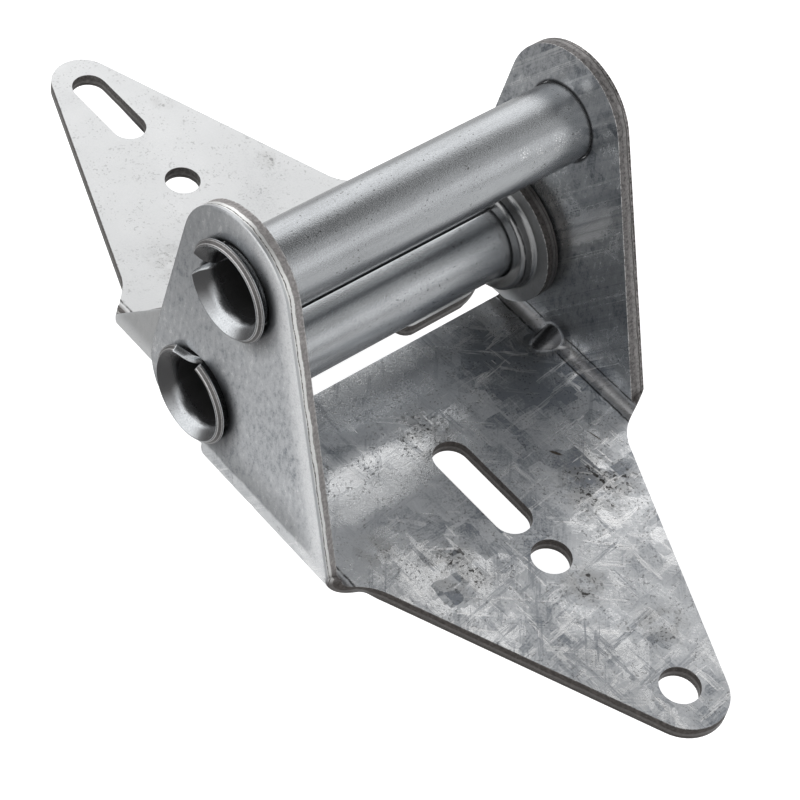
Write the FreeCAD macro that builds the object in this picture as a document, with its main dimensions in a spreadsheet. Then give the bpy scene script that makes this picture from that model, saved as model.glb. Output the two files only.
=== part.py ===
"""Garage door hinge: folded bracket, folded leaf, pivot tube and roller tube.

Frame: +X runs along the pivot axis, the bracket's flange points to -Y, the
leaf to +Y, +Z is up.  The origin lies on the pivot axis, midway between the
outer faces of the bracket's two ears.  Sizes are millimetres.
"""
import FreeCAD
import Part
import math
import os
import Sketcher

os.makedirs("parts", exist_ok=True)

doc = FreeCAD.newDocument("hinge")

# Driving sizes.  Each is written once and is read from the sheet below.

SIZES = {
    "sheet_thickness": 3.04,
    "bend_inside": 2.40,
    "pivot_height": 16.20,
    "tube_diameter": 15.88,
    "tube_wall": 1.50,
    "seam_gap": 0.70,
    "bore_clearance": 0.07,
    "flare_angle": 46.0,
    "flare_bend": 2.00,
    "flare_diameter": 20.00,
    "flare_sink": 1.50,
    "roller_seam_angle": -3.0,
    "roller_seam_opening": 29.0,
    "pivot_seam_angle": 77.0,
    "pivot_seam_opening": 38.0,
    "bore_lead": 1.60,
    "bracket_width": 81.70,
    "roller_offset": 6.00,
    "roller_height": 34.00,
    "apex_rise": 1.10,
    "apex_radius": 14.75,
    "nose_radius": 13.80,
    "foot_reach": 40.40,
    "web_front": 3.20,
    "shoulder_angle": 65.7,
    "shoulder_run": 8.67,
    "shoulder_fillet": 11.0,
    "flange_tip_reach": 95.00,
    "flange_tip_radius": 8.45,
    "flange_hole": 8.06,
    "tip_hole_setback": 1.30,
    "mid_hole_reach": 58.65,
    "slot_near": 30.20,
    "slot_far": 47.40,
    "dart_place": 18.10,
    "dart_reach": 6.00,
    "dart_rise": 3.40,
    "dart_radius": 2.80,
    "dent_reach": 8.40,
    "dent_rise": 4.76,
    "dent_radius": 1.60,
    "leaf_gap": 0.45,
    "leaf_shift": 1.20,
    "tab_radius": 14.90,
    "leaf_foot_reach": 31.70,
    "tab_heel_angle": 115.0,
    "tab_heel": 1.00,
    "arm_edge": 0.10,
    "arm_relief": 12.0,
    "arm_relief_run": 8.20,
    "arm_corner": 3.00,
    "notch_width": 24.00,
    "notch_depth": 12.60,
    "notch_corner": 4.00,
    "leaf_shoulder_angle": 45.0,
    "leaf_shoulder_run": 12.45,
    "leaf_shoulder_fillet": 8.0,
    "leaf_tip_reach": 91.40,
    "leaf_tip_radius": 7.00,
    "leaf_hole": 7.44,
    "leaf_hole_reach": 57.00,
    "leaf_slot_run": 13.80,
    "leaf_slot_setback": 1.90,
    "collar_height": 3.20,
    "collar_wall": 3.30,
    "collar_break": 0.60,
    "tab_lead": 1.80,
    "collar_foot": 0.70,
}

# Sizes worked out from the ones above, so that holes and tapers keep to their ends.

DERIVED = {
    "leaf_width": "=bracket_width - 2 * sheet_thickness - 2 * leaf_gap - 2 * leaf_shift",
    "tip_hole_reach": "=flange_tip_reach - tip_hole_setback",
    "leaf_slot_far": "=leaf_tip_reach - leaf_slot_setback",
    "leaf_slot_near": "=leaf_slot_far - leaf_slot_run",
    "corner_x": "=bracket_width / 2 - shoulder_run * sin(shoulder_angle * 1 deg)",
    "corner_y": "=flange_tip_reach - foot_reach - shoulder_run * cos(shoulder_angle * 1 deg)",
    "flange_half_angle": "=(atan(corner_x / corner_y) - "
                         "asin(flange_tip_radius / sqrt(corner_x ^ 2 + corner_y ^ 2))) / 1 deg",
    "leaf_corner_x": "=leaf_width / 2 - leaf_shoulder_run * sin(leaf_shoulder_angle * 1 deg)",
    "leaf_corner_y": "=leaf_tip_reach - leaf_foot_reach - "
                     "leaf_shoulder_run * cos(leaf_shoulder_angle * 1 deg)",
    "leaf_half_angle": "=(atan(leaf_corner_x / leaf_corner_y) - "
                       "asin(leaf_tip_radius / sqrt(leaf_corner_x ^ 2 + leaf_corner_y ^ 2))) / 1 deg",
}

sheet = doc.addObject("Spreadsheet::Sheet", "Sizes")
for row, (alias, value) in enumerate(list(SIZES.items()) + list(DERIVED.items()), start=1):
    sheet.set("A%d" % row, alias)
    sheet.set("B%d" % row, str(value))
    sheet.setAlias("B%d" % row, alias)
doc.recompute()


def size(alias):
    """Read one driving size back from the sheet."""
    return float(sheet.get(alias))


def rad(alias):
    """Read one driving angle from the sheet, in radians."""
    return math.radians(size(alias))


class Outline:
    """A chain of lines and arcs in a sketch, joined end to end."""

    def __init__(self, sketch, start):
        self.sketch = sketch
        self.start = FreeCAD.Vector(start[0], start[1], 0)
        self.here = self.start
        self.links = []

    def line(self, x, y, tangent=False):
        """Add a straight run to a point; tangent joins it smoothly to the last run."""
        end = FreeCAD.Vector(x, y, 0)
        index = self.sketch.addGeometry(Part.LineSegment(self.here, end), False)
        self.links.append((index, 1, 2, tangent))
        self.here = end
        return index

    def arc(self, cx, cy, x, y, turn, tangent=True):
        """Add an arc about a centre to a point, turn +1 anticlockwise or -1."""
        centre = FreeCAD.Vector(cx, cy, 0)
        end = FreeCAD.Vector(x, y, 0)
        radius = (self.here - centre).Length
        a0 = math.atan2(self.here.y - cy, self.here.x - cx)
        a1 = math.atan2(end.y - cy, end.x - cx)
        if turn < 0:
            a0, a1 = a1, a0
        if a1 <= a0:
            a1 += 2 * math.pi
        circle = Part.Circle(centre, FreeCAD.Vector(0, 0, 1), radius)
        index = self.sketch.addGeometry(Part.ArcOfCircle(circle, a0, a1), False)
        ends = (1, 2) if turn > 0 else (2, 1)
        self.links.append((index, ends[0], ends[1], tangent))
        self.here = end
        return index

    def close(self, tangent=False):
        """Join every run to the next, and the last to the first."""
        count = len(self.links)
        for i in range(count):
            g0, _, e0, _ = self.links[i]
            g1, s1, _, smooth = self.links[(i + 1) % count]
            if i == count - 1:
                smooth = tangent
            kind = "Tangent" if smooth else "Coincident"
            self.sketch.addConstraint(Sketcher.Constraint(kind, g0, e0, g1, s1))


def drive(sketch, name, constraint, expression):
    """Add a dimension to a sketch and bind it to the sheet."""
    index = sketch.addConstraint(constraint)
    sketch.renameConstraint(index, name)
    sketch.setExpression("Constraints." + name, expression)
    return index


def new_body(name, label):
    """Add a body with its own label."""
    body = doc.addObject("PartDesign::Body", name)
    body.Label = label
    return body


def plane_of(body, role):
    """Find one of the body's own origin planes or axes."""
    return [f for f in body.Origin.OriginFeatures if f.Role == role][0]


def new_sketch(body, name, role, lift=None, across=None, along=None):
    """Add a sketch on an origin plane, with its offsets bound to the sheet."""
    sketch = body.newObject("Sketcher::SketchObject", name)
    sketch.AttachmentSupport = [(plane_of(body, role), "")]
    sketch.MapMode = "FlatFace"
    if lift:
        sketch.setExpression("AttachmentOffset.Base.z", lift)
    if across:
        sketch.setExpression("AttachmentOffset.Base.x", across)
    if along:
        sketch.setExpression("AttachmentOffset.Base.y", along)
    doc.recompute()
    return sketch


def settle(body, feature, sign):
    """Recompute and check that a feature added (+1) or removed (-1) material."""
    doc.recompute()
    before = feature.BaseFeature.Shape.Volume if feature.BaseFeature else 0.0
    change = feature.Shape.Volume - before
    if change * sign <= 0:
        raise RuntimeError("%s changed nothing: %.3f" % (feature.Name, change))
    body.Tip = feature
    return feature


def cut_through(body, name, sketch, both_ways):
    """Cut a sketch through everything, one way or both ways."""
    pocket = body.newObject("PartDesign::Pocket", name)
    pocket.Profile = sketch
    pocket.Type = "ThroughAll"
    if both_ways:
        pocket.Midplane = True
    return settle(body, pocket, -1)


BEND_OUTSIDE = "(Sizes.bend_inside + Sizes.sheet_thickness)"
FOLD_START = "(Sizes.bend_inside - Sizes.pivot_height)"
BORE_RADIUS = "(Sizes.tube_diameter / 2 + Sizes.bore_clearance)"
LEAF_WIDTH = "Sizes.leaf_width"

thick = size("sheet_thickness")
bend_in = size("bend_inside")
bend_out = bend_in + thick
web_top = -size("pivot_height")
web_low = web_top - thick
fold_start = web_top + bend_in
bore_r = size("tube_diameter") / 2 + size("bore_clearance")
bracket_half = size("bracket_width") / 2
leaf_half = bracket_half - thick - size("leaf_gap") - size("leaf_shift")


def channel(body, stem, width, half, top, top_expression, length):
    """Fold a flat-bottomed channel: a web with an upright wall at each side."""
    s = new_sketch(body, stem + "_section", "XZ_Plane")
    o = Outline(s, (-half, top))
    left = o.line(-half, fold_start)
    low_left = o.arc(-half + bend_out, fold_start, -half + bend_out, web_low, 1)
    bottom = o.line(half - bend_out, web_low, True)
    low_right = o.arc(half - bend_out, fold_start, half, fold_start, 1)
    right = o.line(half, top, True)
    rim_right = o.line(half - thick, top)
    right_in = o.line(half - thick, fold_start)
    in_right = o.arc(half - bend_out, fold_start, half - bend_out, web_top, -1)
    floor = o.line(-half + bend_out, web_top, True)
    in_left = o.arc(-half + bend_out, fold_start, -half + thick, fold_start, -1)
    left_in = o.line(-half + thick, top, True)
    rim_left = o.line(-half, top)
    o.close()
    for g in (left, right, right_in, left_in):
        s.addConstraint(Sketcher.Constraint("Vertical", g))
    for g in (bottom, rim_right, floor, rim_left):
        s.addConstraint(Sketcher.Constraint("Horizontal", g))
    s.addConstraint(Sketcher.Constraint("Coincident", low_left, 3, in_left, 3))
    s.addConstraint(Sketcher.Constraint("Equal", low_left, low_right))
    s.addConstraint(Sketcher.Constraint("Symmetric", left, 1, right, 2, -2))
    s.addConstraint(Sketcher.Constraint("Equal", rim_left, rim_right))
    s.addConstraint(Sketcher.Constraint("Equal", in_left, in_right))
    drive(s, "width", Sketcher.Constraint("DistanceX", left, 1, right, 2, 2 * half), width)
    drive(s, "wall", Sketcher.Constraint("DistanceX", rim_right, 2, rim_right, 1, thick),
          "Sizes.sheet_thickness")
    drive(s, "fold", Sketcher.Constraint("Radius", in_left, bend_in), "Sizes.bend_inside")
    drive(s, "drop", Sketcher.Constraint("DistanceY", floor, 1, -1, 1, -web_top),
          "Sizes.pivot_height")
    drive(s, "rise", Sketcher.Constraint("DistanceY", -1, 1, left, 1, top), top_expression)
    doc.recompute()
    pad = body.newObject("PartDesign::Pad", stem + "_channel")
    pad.Profile = s
    pad.Midplane = True
    pad.setExpression("Length", length)
    return settle(body, pad, 1)


def tangent_point(cx, cy, radius, px, py, side):
    """Point where a line from P touches a circle; side +1 or -1 picks which."""
    dx, dy = px - cx, py - cy
    dist = math.hypot(dx, dy)
    turn = math.acos(radius / dist) * side
    base = math.atan2(dy, dx) + turn
    return cx + radius * math.cos(base), cy + radius * math.sin(base)


def slot_shape(sketch, name, near, far, near_expression, far_expression, diameter, bore):
    """A round-ended slot along Y, centred on the Y axis."""
    sign = 1 if far > near else -1
    low, high = (near, far) if far > near else (far, near)
    r = diameter / 2
    o = Outline(sketch, (r, low))
    side = o.line(r, high)
    top = o.arc(0, high, -r, high, 1)
    other = o.line(-r, low, True)
    end = o.arc(0, low, r, low, 1)
    o.close(tangent=True)
    sketch.addConstraint(Sketcher.Constraint("Vertical", side))
    sketch.addConstraint(Sketcher.Constraint("PointOnObject", top, 3, -2))
    sketch.addConstraint(Sketcher.Constraint("PointOnObject", end, 3, -2))
    drive(sketch, name + "_bore", Sketcher.Constraint("Radius", top, r), bore)
    ends = {1: (end, top), -1: (top, end)}[sign]
    for label, arc, value, text in (("near", ends[0], near, near_expression),
                                    ("far", ends[1], far, far_expression)):
        if value > 0:
            c = Sketcher.Constraint("DistanceY", -1, 1, arc, 3, value)
        else:
            c = Sketcher.Constraint("DistanceY", arc, 3, -1, 1, -value)
        drive(sketch, name + "_" + label, c, text)


def round_hole(sketch, name, reach, expression, diameter, bore):
    """A round hole on the Y axis."""
    circle = Part.Circle(FreeCAD.Vector(0, reach, 0), FreeCAD.Vector(0, 0, 1), diameter / 2)
    g = sketch.addGeometry(circle, False)
    sketch.addConstraint(Sketcher.Constraint("PointOnObject", g, 3, -2))
    drive(sketch, name + "_bore", Sketcher.Constraint("Diameter", g, diameter), bore)
    if reach > 0:
        c = Sketcher.Constraint("DistanceY", -1, 1, g, 3, reach)
    else:
        c = Sketcher.Constraint("DistanceY", g, 3, -1, 1, -reach)
    drive(sketch, name + "_reach", c, expression)


# Bracket: one folded sheet with two upright ears and a tapered flange.

bracket = new_body("Bracket", "bracket")
ear_top = size("roller_height") + size("apex_rise") + size("apex_radius") + 4.0
channel(bracket, "bracket", "Sizes.bracket_width", bracket_half, ear_top,
        "Sizes.roller_height + Sizes.apex_rise + Sizes.apex_radius + 4",
        "2 * (Sizes.flange_tip_reach + Sizes.flange_tip_radius + 4)")

# Ear outline, seen along the pivot axis.  What lies outside it is cut away
# above the start of the folds.

frame_y = size("flange_tip_reach") + size("flange_tip_radius") + 8.0
apex_y = -size("roller_offset")
apex_z = size("roller_height") + size("apex_rise")
apex_r = size("apex_radius")
nose_r = size("nose_radius")
foot = -size("foot_reach")
ear_sketch = new_sketch(bracket, "ear_outline", "YZ_Plane")
rear = tangent_point(apex_y, apex_z, apex_r, foot, fold_start, -1)
gap = math.hypot(apex_y, apex_z)
lean = math.atan2(apex_z, apex_y)
turn = lean - math.acos((nose_r - apex_r) / gap)
nose = (nose_r * math.cos(turn), nose_r * math.sin(turn))
front = (apex_y + apex_r * math.cos(turn), apex_z + apex_r * math.sin(turn))
web_edge = -size("web_front")
chin_angle = -math.acos(web_edge / nose_r)
chin = (web_edge, nose_r * math.sin(chin_angle))
o = Outline(ear_sketch, (-frame_y, fold_start))
base_rear = o.line(foot, fold_start)
slope_rear = o.line(rear[0], rear[1])
apex = o.arc(apex_y, apex_z, front[0], front[1], -1)
slope_front = o.line(nose[0], nose[1], True)
nose_arc = o.arc(0, 0, chin[0], chin[1], -1)
drop = o.line(web_edge, web_low - 2)
base_front = o.line(frame_y, web_low - 2)
side_front = o.line(frame_y, ear_top + 2)
roof = o.line(-frame_y, ear_top + 2)
side_rear = o.line(-frame_y, fold_start)
o.close()
s = ear_sketch
for g in (base_rear, base_front, roof):
    s.addConstraint(Sketcher.Constraint("Horizontal", g))
for g in (drop, side_front, side_rear):
    s.addConstraint(Sketcher.Constraint("Vertical", g))
s.addConstraint(Sketcher.Constraint("Coincident", nose_arc, 3, -1, 1))
drive(s, "apex_r", Sketcher.Constraint("Radius", apex, apex_r), "Sizes.apex_radius")
drive(s, "apex_y", Sketcher.Constraint("DistanceX", apex, 3, -1, 1, -apex_y),
      "Sizes.roller_offset")
drive(s, "apex_z", Sketcher.Constraint("DistanceY", -1, 1, apex, 3, apex_z),
      "Sizes.roller_height + Sizes.apex_rise")
drive(s, "nose_r", Sketcher.Constraint("Radius", nose_arc, nose_r), "Sizes.nose_radius")
drive(s, "chin_y", Sketcher.Constraint("DistanceX", drop, 1, -1, 1, -web_edge),
      "Sizes.web_front")
drive(s, "fold_rear", Sketcher.Constraint("DistanceY", base_rear, 2, -1, 1, -fold_start),
      "-" + FOLD_START)
drive(s, "low_front", Sketcher.Constraint("DistanceY", base_front, 1, -1, 1, 2 - web_low),
      "Sizes.pivot_height + Sizes.sheet_thickness + 2")
drive(s, "foot_y", Sketcher.Constraint("DistanceX", base_rear, 2, -1, 1, -foot),
      "Sizes.foot_reach")
drive(s, "far_rear", Sketcher.Constraint("DistanceX", base_rear, 1, -1, 1, frame_y),
      "Sizes.flange_tip_reach + Sizes.flange_tip_radius + 8")
drive(s, "far_front", Sketcher.Constraint("DistanceX", -1, 1, base_front, 2, frame_y),
      "Sizes.flange_tip_reach + Sizes.flange_tip_radius + 8")
drive(s, "far_top", Sketcher.Constraint("DistanceY", -1, 1, roof, 1, ear_top + 2),
      "Sizes.roller_height + Sizes.apex_rise + Sizes.apex_radius + 6")
cut_through(bracket, "ear_trim", ear_sketch, True)

# Flange outline, seen from above: straight front edge, shoulders that carry the
# ears' rear edges round the folds, long tapers and a round tip.

flange_sketch = new_sketch(bracket, "flange_outline", "XY_Plane", lift=FOLD_START)
half_angle = rad("flange_half_angle")
shoulder = rad("shoulder_angle")
tip_y = -size("flange_tip_reach")
tip_r = size("flange_tip_radius")
fillet_r = size("shoulder_fillet")
tip_touch = (tip_r * math.cos(half_angle), tip_y - tip_r * math.sin(half_angle))
taper = FreeCAD.Vector(math.sin(half_angle), math.cos(half_angle), 0)
across = FreeCAD.Vector(-math.sin(shoulder), -math.cos(shoulder), 0)
start = FreeCAD.Vector(bracket_half, foot, 0)
touch = FreeCAD.Vector(tip_touch[0], tip_touch[1], 0)
det = across.x * taper.y - across.y * taper.x
step = ((touch.x - start.x) * taper.y - (touch.y - start.y) * taper.x) / det
corner = start + across * step
setback = fillet_r * math.tan((shoulder - half_angle) / 2)
round_in = corner - across * setback
round_out = corner - taper * setback
normal = FreeCAD.Vector(math.cos(shoulder), -math.sin(shoulder), 0)
round_c = round_in + normal * fillet_r
out_x = bracket_half + 3.0
far_x = bracket_half + 12.0
o = Outline(flange_sketch, (-out_x, web_edge))
edge = o.line(out_x, web_edge)
drop_r = o.line(out_x, foot)
lip_r = o.line(bracket_half, foot)
sh_r = o.line(round_in.x, round_in.y)
fil_r = o.arc(round_c.x, round_c.y, round_out.x, round_out.y, 1)
tap_r = o.line(tip_touch[0], tip_touch[1], True)
tip = o.arc(0, tip_y, -tip_touch[0], tip_touch[1], -1)
tap_l = o.line(-round_out.x, round_out.y, True)
fil_l = o.arc(-round_c.x, round_c.y, -round_in.x, round_in.y, 1)
sh_l = o.line(-bracket_half, foot, True)
lip_l = o.line(-out_x, foot)
drop_l = o.line(-out_x, web_edge)
o.close()
outer = Outline(flange_sketch, (-far_x, frame_y))
roof = outer.line(far_x, frame_y)
right = outer.line(far_x, -frame_y)
floor = outer.line(-far_x, -frame_y)
left = outer.line(-far_x, frame_y)
outer.close()
s = flange_sketch
for g in (lip_r, lip_l, roof, floor):
    s.addConstraint(Sketcher.Constraint("Horizontal", g))
for g in (drop_r, drop_l, right, left):
    s.addConstraint(Sketcher.Constraint("Vertical", g))
s.addConstraint(Sketcher.Constraint("Symmetric", edge, 1, edge, 2, -2))
s.addConstraint(Sketcher.Constraint("Symmetric", lip_r, 2, sh_l, 2, -2))
s.addConstraint(Sketcher.Constraint("Symmetric", tap_r, 1, tap_l, 2, -2))
s.addConstraint(Sketcher.Constraint("PointOnObject", tip, 3, -2))
s.addConstraint(Sketcher.Constraint("Equal", fil_r, fil_l))
drive(s, "front", Sketcher.Constraint("DistanceY", edge, 1, -1, 1, -web_edge),
      "Sizes.web_front")
drive(s, "far_x", Sketcher.Constraint("DistanceX", roof, 1, -1, 1, far_x),
      "Sizes.bracket_width / 2 + 12")
drive(s, "far_width", Sketcher.Constraint("DistanceX", roof, 1, roof, 2, 2 * far_x),
      "Sizes.bracket_width + 24")
drive(s, "far_front", Sketcher.Constraint("DistanceY", -1, 1, roof, 1, frame_y),
      "Sizes.flange_tip_reach + Sizes.flange_tip_radius + 8")
drive(s, "far_rear", Sketcher.Constraint("DistanceY", right, 2, -1, 1, frame_y),
      "Sizes.flange_tip_reach + Sizes.flange_tip_radius + 8")
drive(s, "lip", Sketcher.Constraint("DistanceX", lip_r, 2, lip_r, 1, out_x - bracket_half),
      "3")
drive(s, "ear_span", Sketcher.Constraint("DistanceX", sh_l, 2, lip_r, 2, 2 * bracket_half),
      "Sizes.bracket_width")
drive(s, "foot_y", Sketcher.Constraint("DistanceY", lip_r, 2, -1, 1, -foot),
      "Sizes.foot_reach")
drive(s, "fillet", Sketcher.Constraint("Radius", fil_r, fillet_r), "Sizes.shoulder_fillet")
drive(s, "tip_r", Sketcher.Constraint("Radius", tip, tip_r), "Sizes.flange_tip_radius")
drive(s, "tip_y", Sketcher.Constraint("DistanceY", tip, 3, -1, 1, -tip_y),
      "Sizes.flange_tip_reach")
drive(s, "shoulder", Sketcher.Constraint("Angle", sh_l, math.pi / 2 + shoulder),
      "90 deg + Sizes.shoulder_angle * 1 deg")
drive(s, "taper", Sketcher.Constraint("Angle", tap_l, math.pi / 2 + half_angle),
      "90 deg + Sizes.flange_half_angle * 1 deg")
cut_through(bracket, "flange_trim", flange_sketch, False)

# Bolt holes and slot down the middle of the flange.

hole_sketch = new_sketch(bracket, "flange_holes", "XY_Plane", lift=FOLD_START)
slot_shape(hole_sketch, "slot", -size("slot_near"), -size("slot_far"), "Sizes.slot_near",
           "Sizes.slot_far", size("flange_hole"), "Sizes.flange_hole / 2")
round_hole(hole_sketch, "mid", -size("mid_hole_reach"), "Sizes.mid_hole_reach",
           size("flange_hole"), "Sizes.flange_hole")
round_hole(hole_sketch, "tip", -size("tip_hole_reach"), "Sizes.tip_hole_reach",
           size("flange_hole"), "Sizes.flange_hole")
cut_through(bracket, "flange_punch", hole_sketch, False)


def ear_bore(body, stem, across, along):
    """Turn one tube's pair of ear holes, each opened out to the ear's outer face."""
    s = new_sketch(body, stem + "_profile", "XZ_Plane", lift=across, along=along)
    lead = size("bore_lead")
    outer = bracket_half
    mouth = bore_r + lead
    o = Outline(s, (-outer - 2, 0))
    axis = o.line(outer + 2, 0)
    end_r = o.line(outer + 2, mouth)
    lip_r = o.line(outer, mouth)
    o.line(outer - lead, bore_r)
    land = o.line(-outer + lead, bore_r)
    o.line(-outer, mouth)
    lip_l = o.line(-outer - 2, mouth)
    end_l = o.line(-outer - 2, 0)
    o.close()
    for g in (lip_r, lip_l):
        s.addConstraint(Sketcher.Constraint("Horizontal", g))
    for g in (end_r, end_l):
        s.addConstraint(Sketcher.Constraint("Vertical", g))
    s.addConstraint(Sketcher.Constraint("PointOnObject", axis, 1, -1))
    s.addConstraint(Sketcher.Constraint("Symmetric", axis, 1, axis, 2, -2))
    s.addConstraint(Sketcher.Constraint("Symmetric", land, 1, land, 2, -2))
    s.addConstraint(Sketcher.Constraint("Symmetric", lip_r, 2, lip_l, 1, -2))
    drive(s, "land", Sketcher.Constraint("DistanceY", -1, 1, land, 1, bore_r), BORE_RADIUS)
    drive(s, "lead_x", Sketcher.Constraint("DistanceX", land, 1, lip_r, 2, lead),
          "Sizes.bore_lead")
    drive(s, "lead_y", Sketcher.Constraint("DistanceY", land, 1, lip_r, 2, lead),
          "Sizes.bore_lead")
    drive(s, "outer", Sketcher.Constraint("DistanceX", lip_l, 1, lip_r, 2, 2 * outer),
          "Sizes.bracket_width")
    drive(s, "over", Sketcher.Constraint("DistanceX", axis, 1, axis, 2, 2 * outer + 4),
          "Sizes.bracket_width + 4")
    groove = body.newObject("PartDesign::Groove", stem + "_bore")
    groove.Profile = s
    groove.ReferenceAxis = (s, ["H_Axis"])
    groove.Angle = 360.0
    return settle(body, groove, -1)


ear_bore(bracket, "pivot", None, None)
ear_bore(bracket, "roller", "Sizes.roller_offset", "Sizes.roller_height")
doc.recompute()

# Darts: a pressed rib across each fold, with its dent on the outside.


def rib(body, stem, corner, reach, rise, radius, over, texts, additive):
    """A round ridge or dent pressed slantwise across the fold.

    Its crest meets the web at the reach from the corner and the ear at the
    rise.  The ridge is half round and ends inside the sheet; the dent is cut
    past both faces.
    """
    s = new_sketch(body, stem + "_profile", "XZ_Plane", lift="Sizes.dart_place")
    lean = math.atan2(rise, reach)
    half = math.hypot(reach, rise) / 2 + over
    middle = FreeCAD.Vector(corner[0] - reach / 2, corner[1] + rise / 2, 0)
    run = FreeCAD.Vector(math.cos(lean), math.sin(lean), 0) * half
    fall = FreeCAD.Vector(math.sin(lean), -math.cos(lean), 0) * radius
    corners = (middle - run, middle + run, middle + run + fall, middle - run + fall)
    o = Outline(s, (corners[0].x, corners[0].y))
    crest = o.line(corners[1].x, corners[1].y)
    end_b = o.line(corners[2].x, corners[2].y)
    axis = o.line(corners[3].x, corners[3].y)
    end_a = o.line(corners[0].x, corners[0].y)
    o.close()
    turn_axis = s.addGeometry(Part.LineSegment(corners[3], corners[2]), True)
    s.addConstraint(Sketcher.Constraint("Coincident", turn_axis, 1, axis, 2))
    s.addConstraint(Sketcher.Constraint("Coincident", turn_axis, 2, axis, 1))
    point = s.addGeometry(Part.Point(middle), True)
    s.addConstraint(Sketcher.Constraint("Symmetric", crest, 1, crest, 2, point, 1))
    s.addConstraint(Sketcher.Constraint("Parallel", crest, axis))
    s.addConstraint(Sketcher.Constraint("Perpendicular", crest, end_b))
    s.addConstraint(Sketcher.Constraint("Perpendicular", crest, end_a))
    drive(s, "lean", Sketcher.Constraint("Angle", crest, lean), "atan(" + texts[3] + " / " + texts[2] + ")")
    drive(s, "middle_x", Sketcher.Constraint("DistanceX", -1, 1, point, 1, middle.x),
          texts[0] + " - " + texts[2] + " / 2")
    drive(s, "middle_z", Sketcher.Constraint("DistanceY", point, 1, -1, 1, -middle.y),
          texts[1] + " - " + texts[3] + " / 2")
    drive(s, "run", Sketcher.Constraint("Distance", crest, 2 * half),
          "sqrt(%s ^ 2 + %s ^ 2) + 2 * %g" % (texts[2], texts[3], over))
    drive(s, "round", Sketcher.Constraint("Distance", end_b, radius), texts[4])
    kind = "PartDesign::Revolution" if additive else "PartDesign::Groove"
    feature = body.newObject(kind, stem)
    feature.Profile = s
    feature.ReferenceAxis = (s, ["Axis0"])
    feature.Angle = 180.0 if additive else 360.0
    feature.Midplane = additive
    return settle(body, feature, 1 if additive else -1)


def mirror(body, name, originals):
    """Repeat features on the other side of the middle plane."""
    feature = body.newObject("PartDesign::Mirrored", name)
    feature.Originals = originals
    feature.MirrorPlane = (plane_of(body, "YZ_Plane"), [""])
    doc.recompute()
    body.Tip = feature
    return feature


dent = rib(bracket, "dent", (bracket_half, web_low), size("dent_reach"), size("dent_rise"),
           size("dent_radius"), 2.5,
           ("Sizes.bracket_width / 2", "(Sizes.pivot_height + Sizes.sheet_thickness)",
            "Sizes.dent_reach", "Sizes.dent_rise", "Sizes.dent_radius"), False)
dart = rib(bracket, "dart", (bracket_half - thick, web_top), size("dart_reach"),
           size("dart_rise"), size("dart_radius"), 0.3,
           ("(Sizes.bracket_width / 2 - Sizes.sheet_thickness)", "Sizes.pivot_height",
            "Sizes.dart_reach", "Sizes.dart_rise", "Sizes.dart_radius"), True)
mirror(bracket, "dart_pair", [dent, dart])

# Leaf: a folded sheet between the ears, with a round tab at each side.

leaf = new_body("Leaf", "leaf")
tab_r = size("tab_radius")
leaf_tip_y = size("leaf_tip_reach")
leaf_tip_r = size("leaf_tip_radius")
leaf_frame = leaf_tip_y + leaf_tip_r + 8.0
channel(leaf, "leaf", LEAF_WIDTH, leaf_half, tab_r + 4.0, "Sizes.tab_radius + 4",
        "2 * (Sizes.leaf_tip_reach + Sizes.leaf_tip_radius + 4)")

# Tab outline, seen along the pivot axis.

tab_sketch = new_sketch(leaf, "tab_outline", "YZ_Plane")
leaf_foot = size("leaf_foot_reach")
heel_angle = -rad("tab_heel_angle")
heel_y = -(size("arm_edge") + size("tab_heel"))
touch_y, touch_z = tangent_point(0, 0, tab_r, leaf_foot, fold_start, 1)
heel_touch = (tab_r * math.cos(heel_angle), tab_r * math.sin(heel_angle))
o = Outline(tab_sketch, (-leaf_frame, web_low - 2))
base_rear = o.line(heel_y, web_low - 2)
heel = o.line(heel_y, fold_start)
chin = o.line(heel_touch[0], heel_touch[1])
round_tab = o.arc(0, 0, touch_y, touch_z, -1, False)
slope = o.line(leaf_foot, fold_start, True)
base_front = o.line(leaf_frame, fold_start)
side_front = o.line(leaf_frame, tab_r + 6)
roof = o.line(-leaf_frame, tab_r + 6)
side_rear = o.line(-leaf_frame, web_low - 2)
o.close()
spoke = tab_sketch.addGeometry(Part.LineSegment(FreeCAD.Vector(0, 0, 0),
                               FreeCAD.Vector(heel_touch[0], heel_touch[1], 0)), True)
s = tab_sketch
for g in (base_rear, base_front, roof):
    s.addConstraint(Sketcher.Constraint("Horizontal", g))
for g in (heel, side_front, side_rear):
    s.addConstraint(Sketcher.Constraint("Vertical", g))
s.addConstraint(Sketcher.Constraint("Coincident", round_tab, 3, -1, 1))
s.addConstraint(Sketcher.Constraint("Coincident", spoke, 1, -1, 1))
s.addConstraint(Sketcher.Constraint("Coincident", spoke, 2, round_tab, 2))
drive(s, "spoke", Sketcher.Constraint("Angle", spoke, heel_angle),
      "-Sizes.tab_heel_angle * 1 deg")
drive(s, "tab_r", Sketcher.Constraint("Radius", round_tab, tab_r), "Sizes.tab_radius")
drive(s, "heel_y", Sketcher.Constraint("DistanceX", heel, 1, -1, 1, -heel_y),
      "Sizes.arm_edge + Sizes.tab_heel")
drive(s, "heel_low", Sketcher.Constraint("DistanceY", heel, 1, -1, 1, 2 - web_low),
      "Sizes.pivot_height + Sizes.sheet_thickness + 2")
drive(s, "heel_top", Sketcher.Constraint("DistanceY", heel, 2, -1, 1, -fold_start),
      "-" + FOLD_START)
drive(s, "foot_z", Sketcher.Constraint("DistanceY", slope, 2, -1, 1, -fold_start),
      "-" + FOLD_START)
drive(s, "foot_y", Sketcher.Constraint("DistanceX", -1, 1, slope, 2, leaf_foot),
      "Sizes.leaf_foot_reach")
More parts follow.
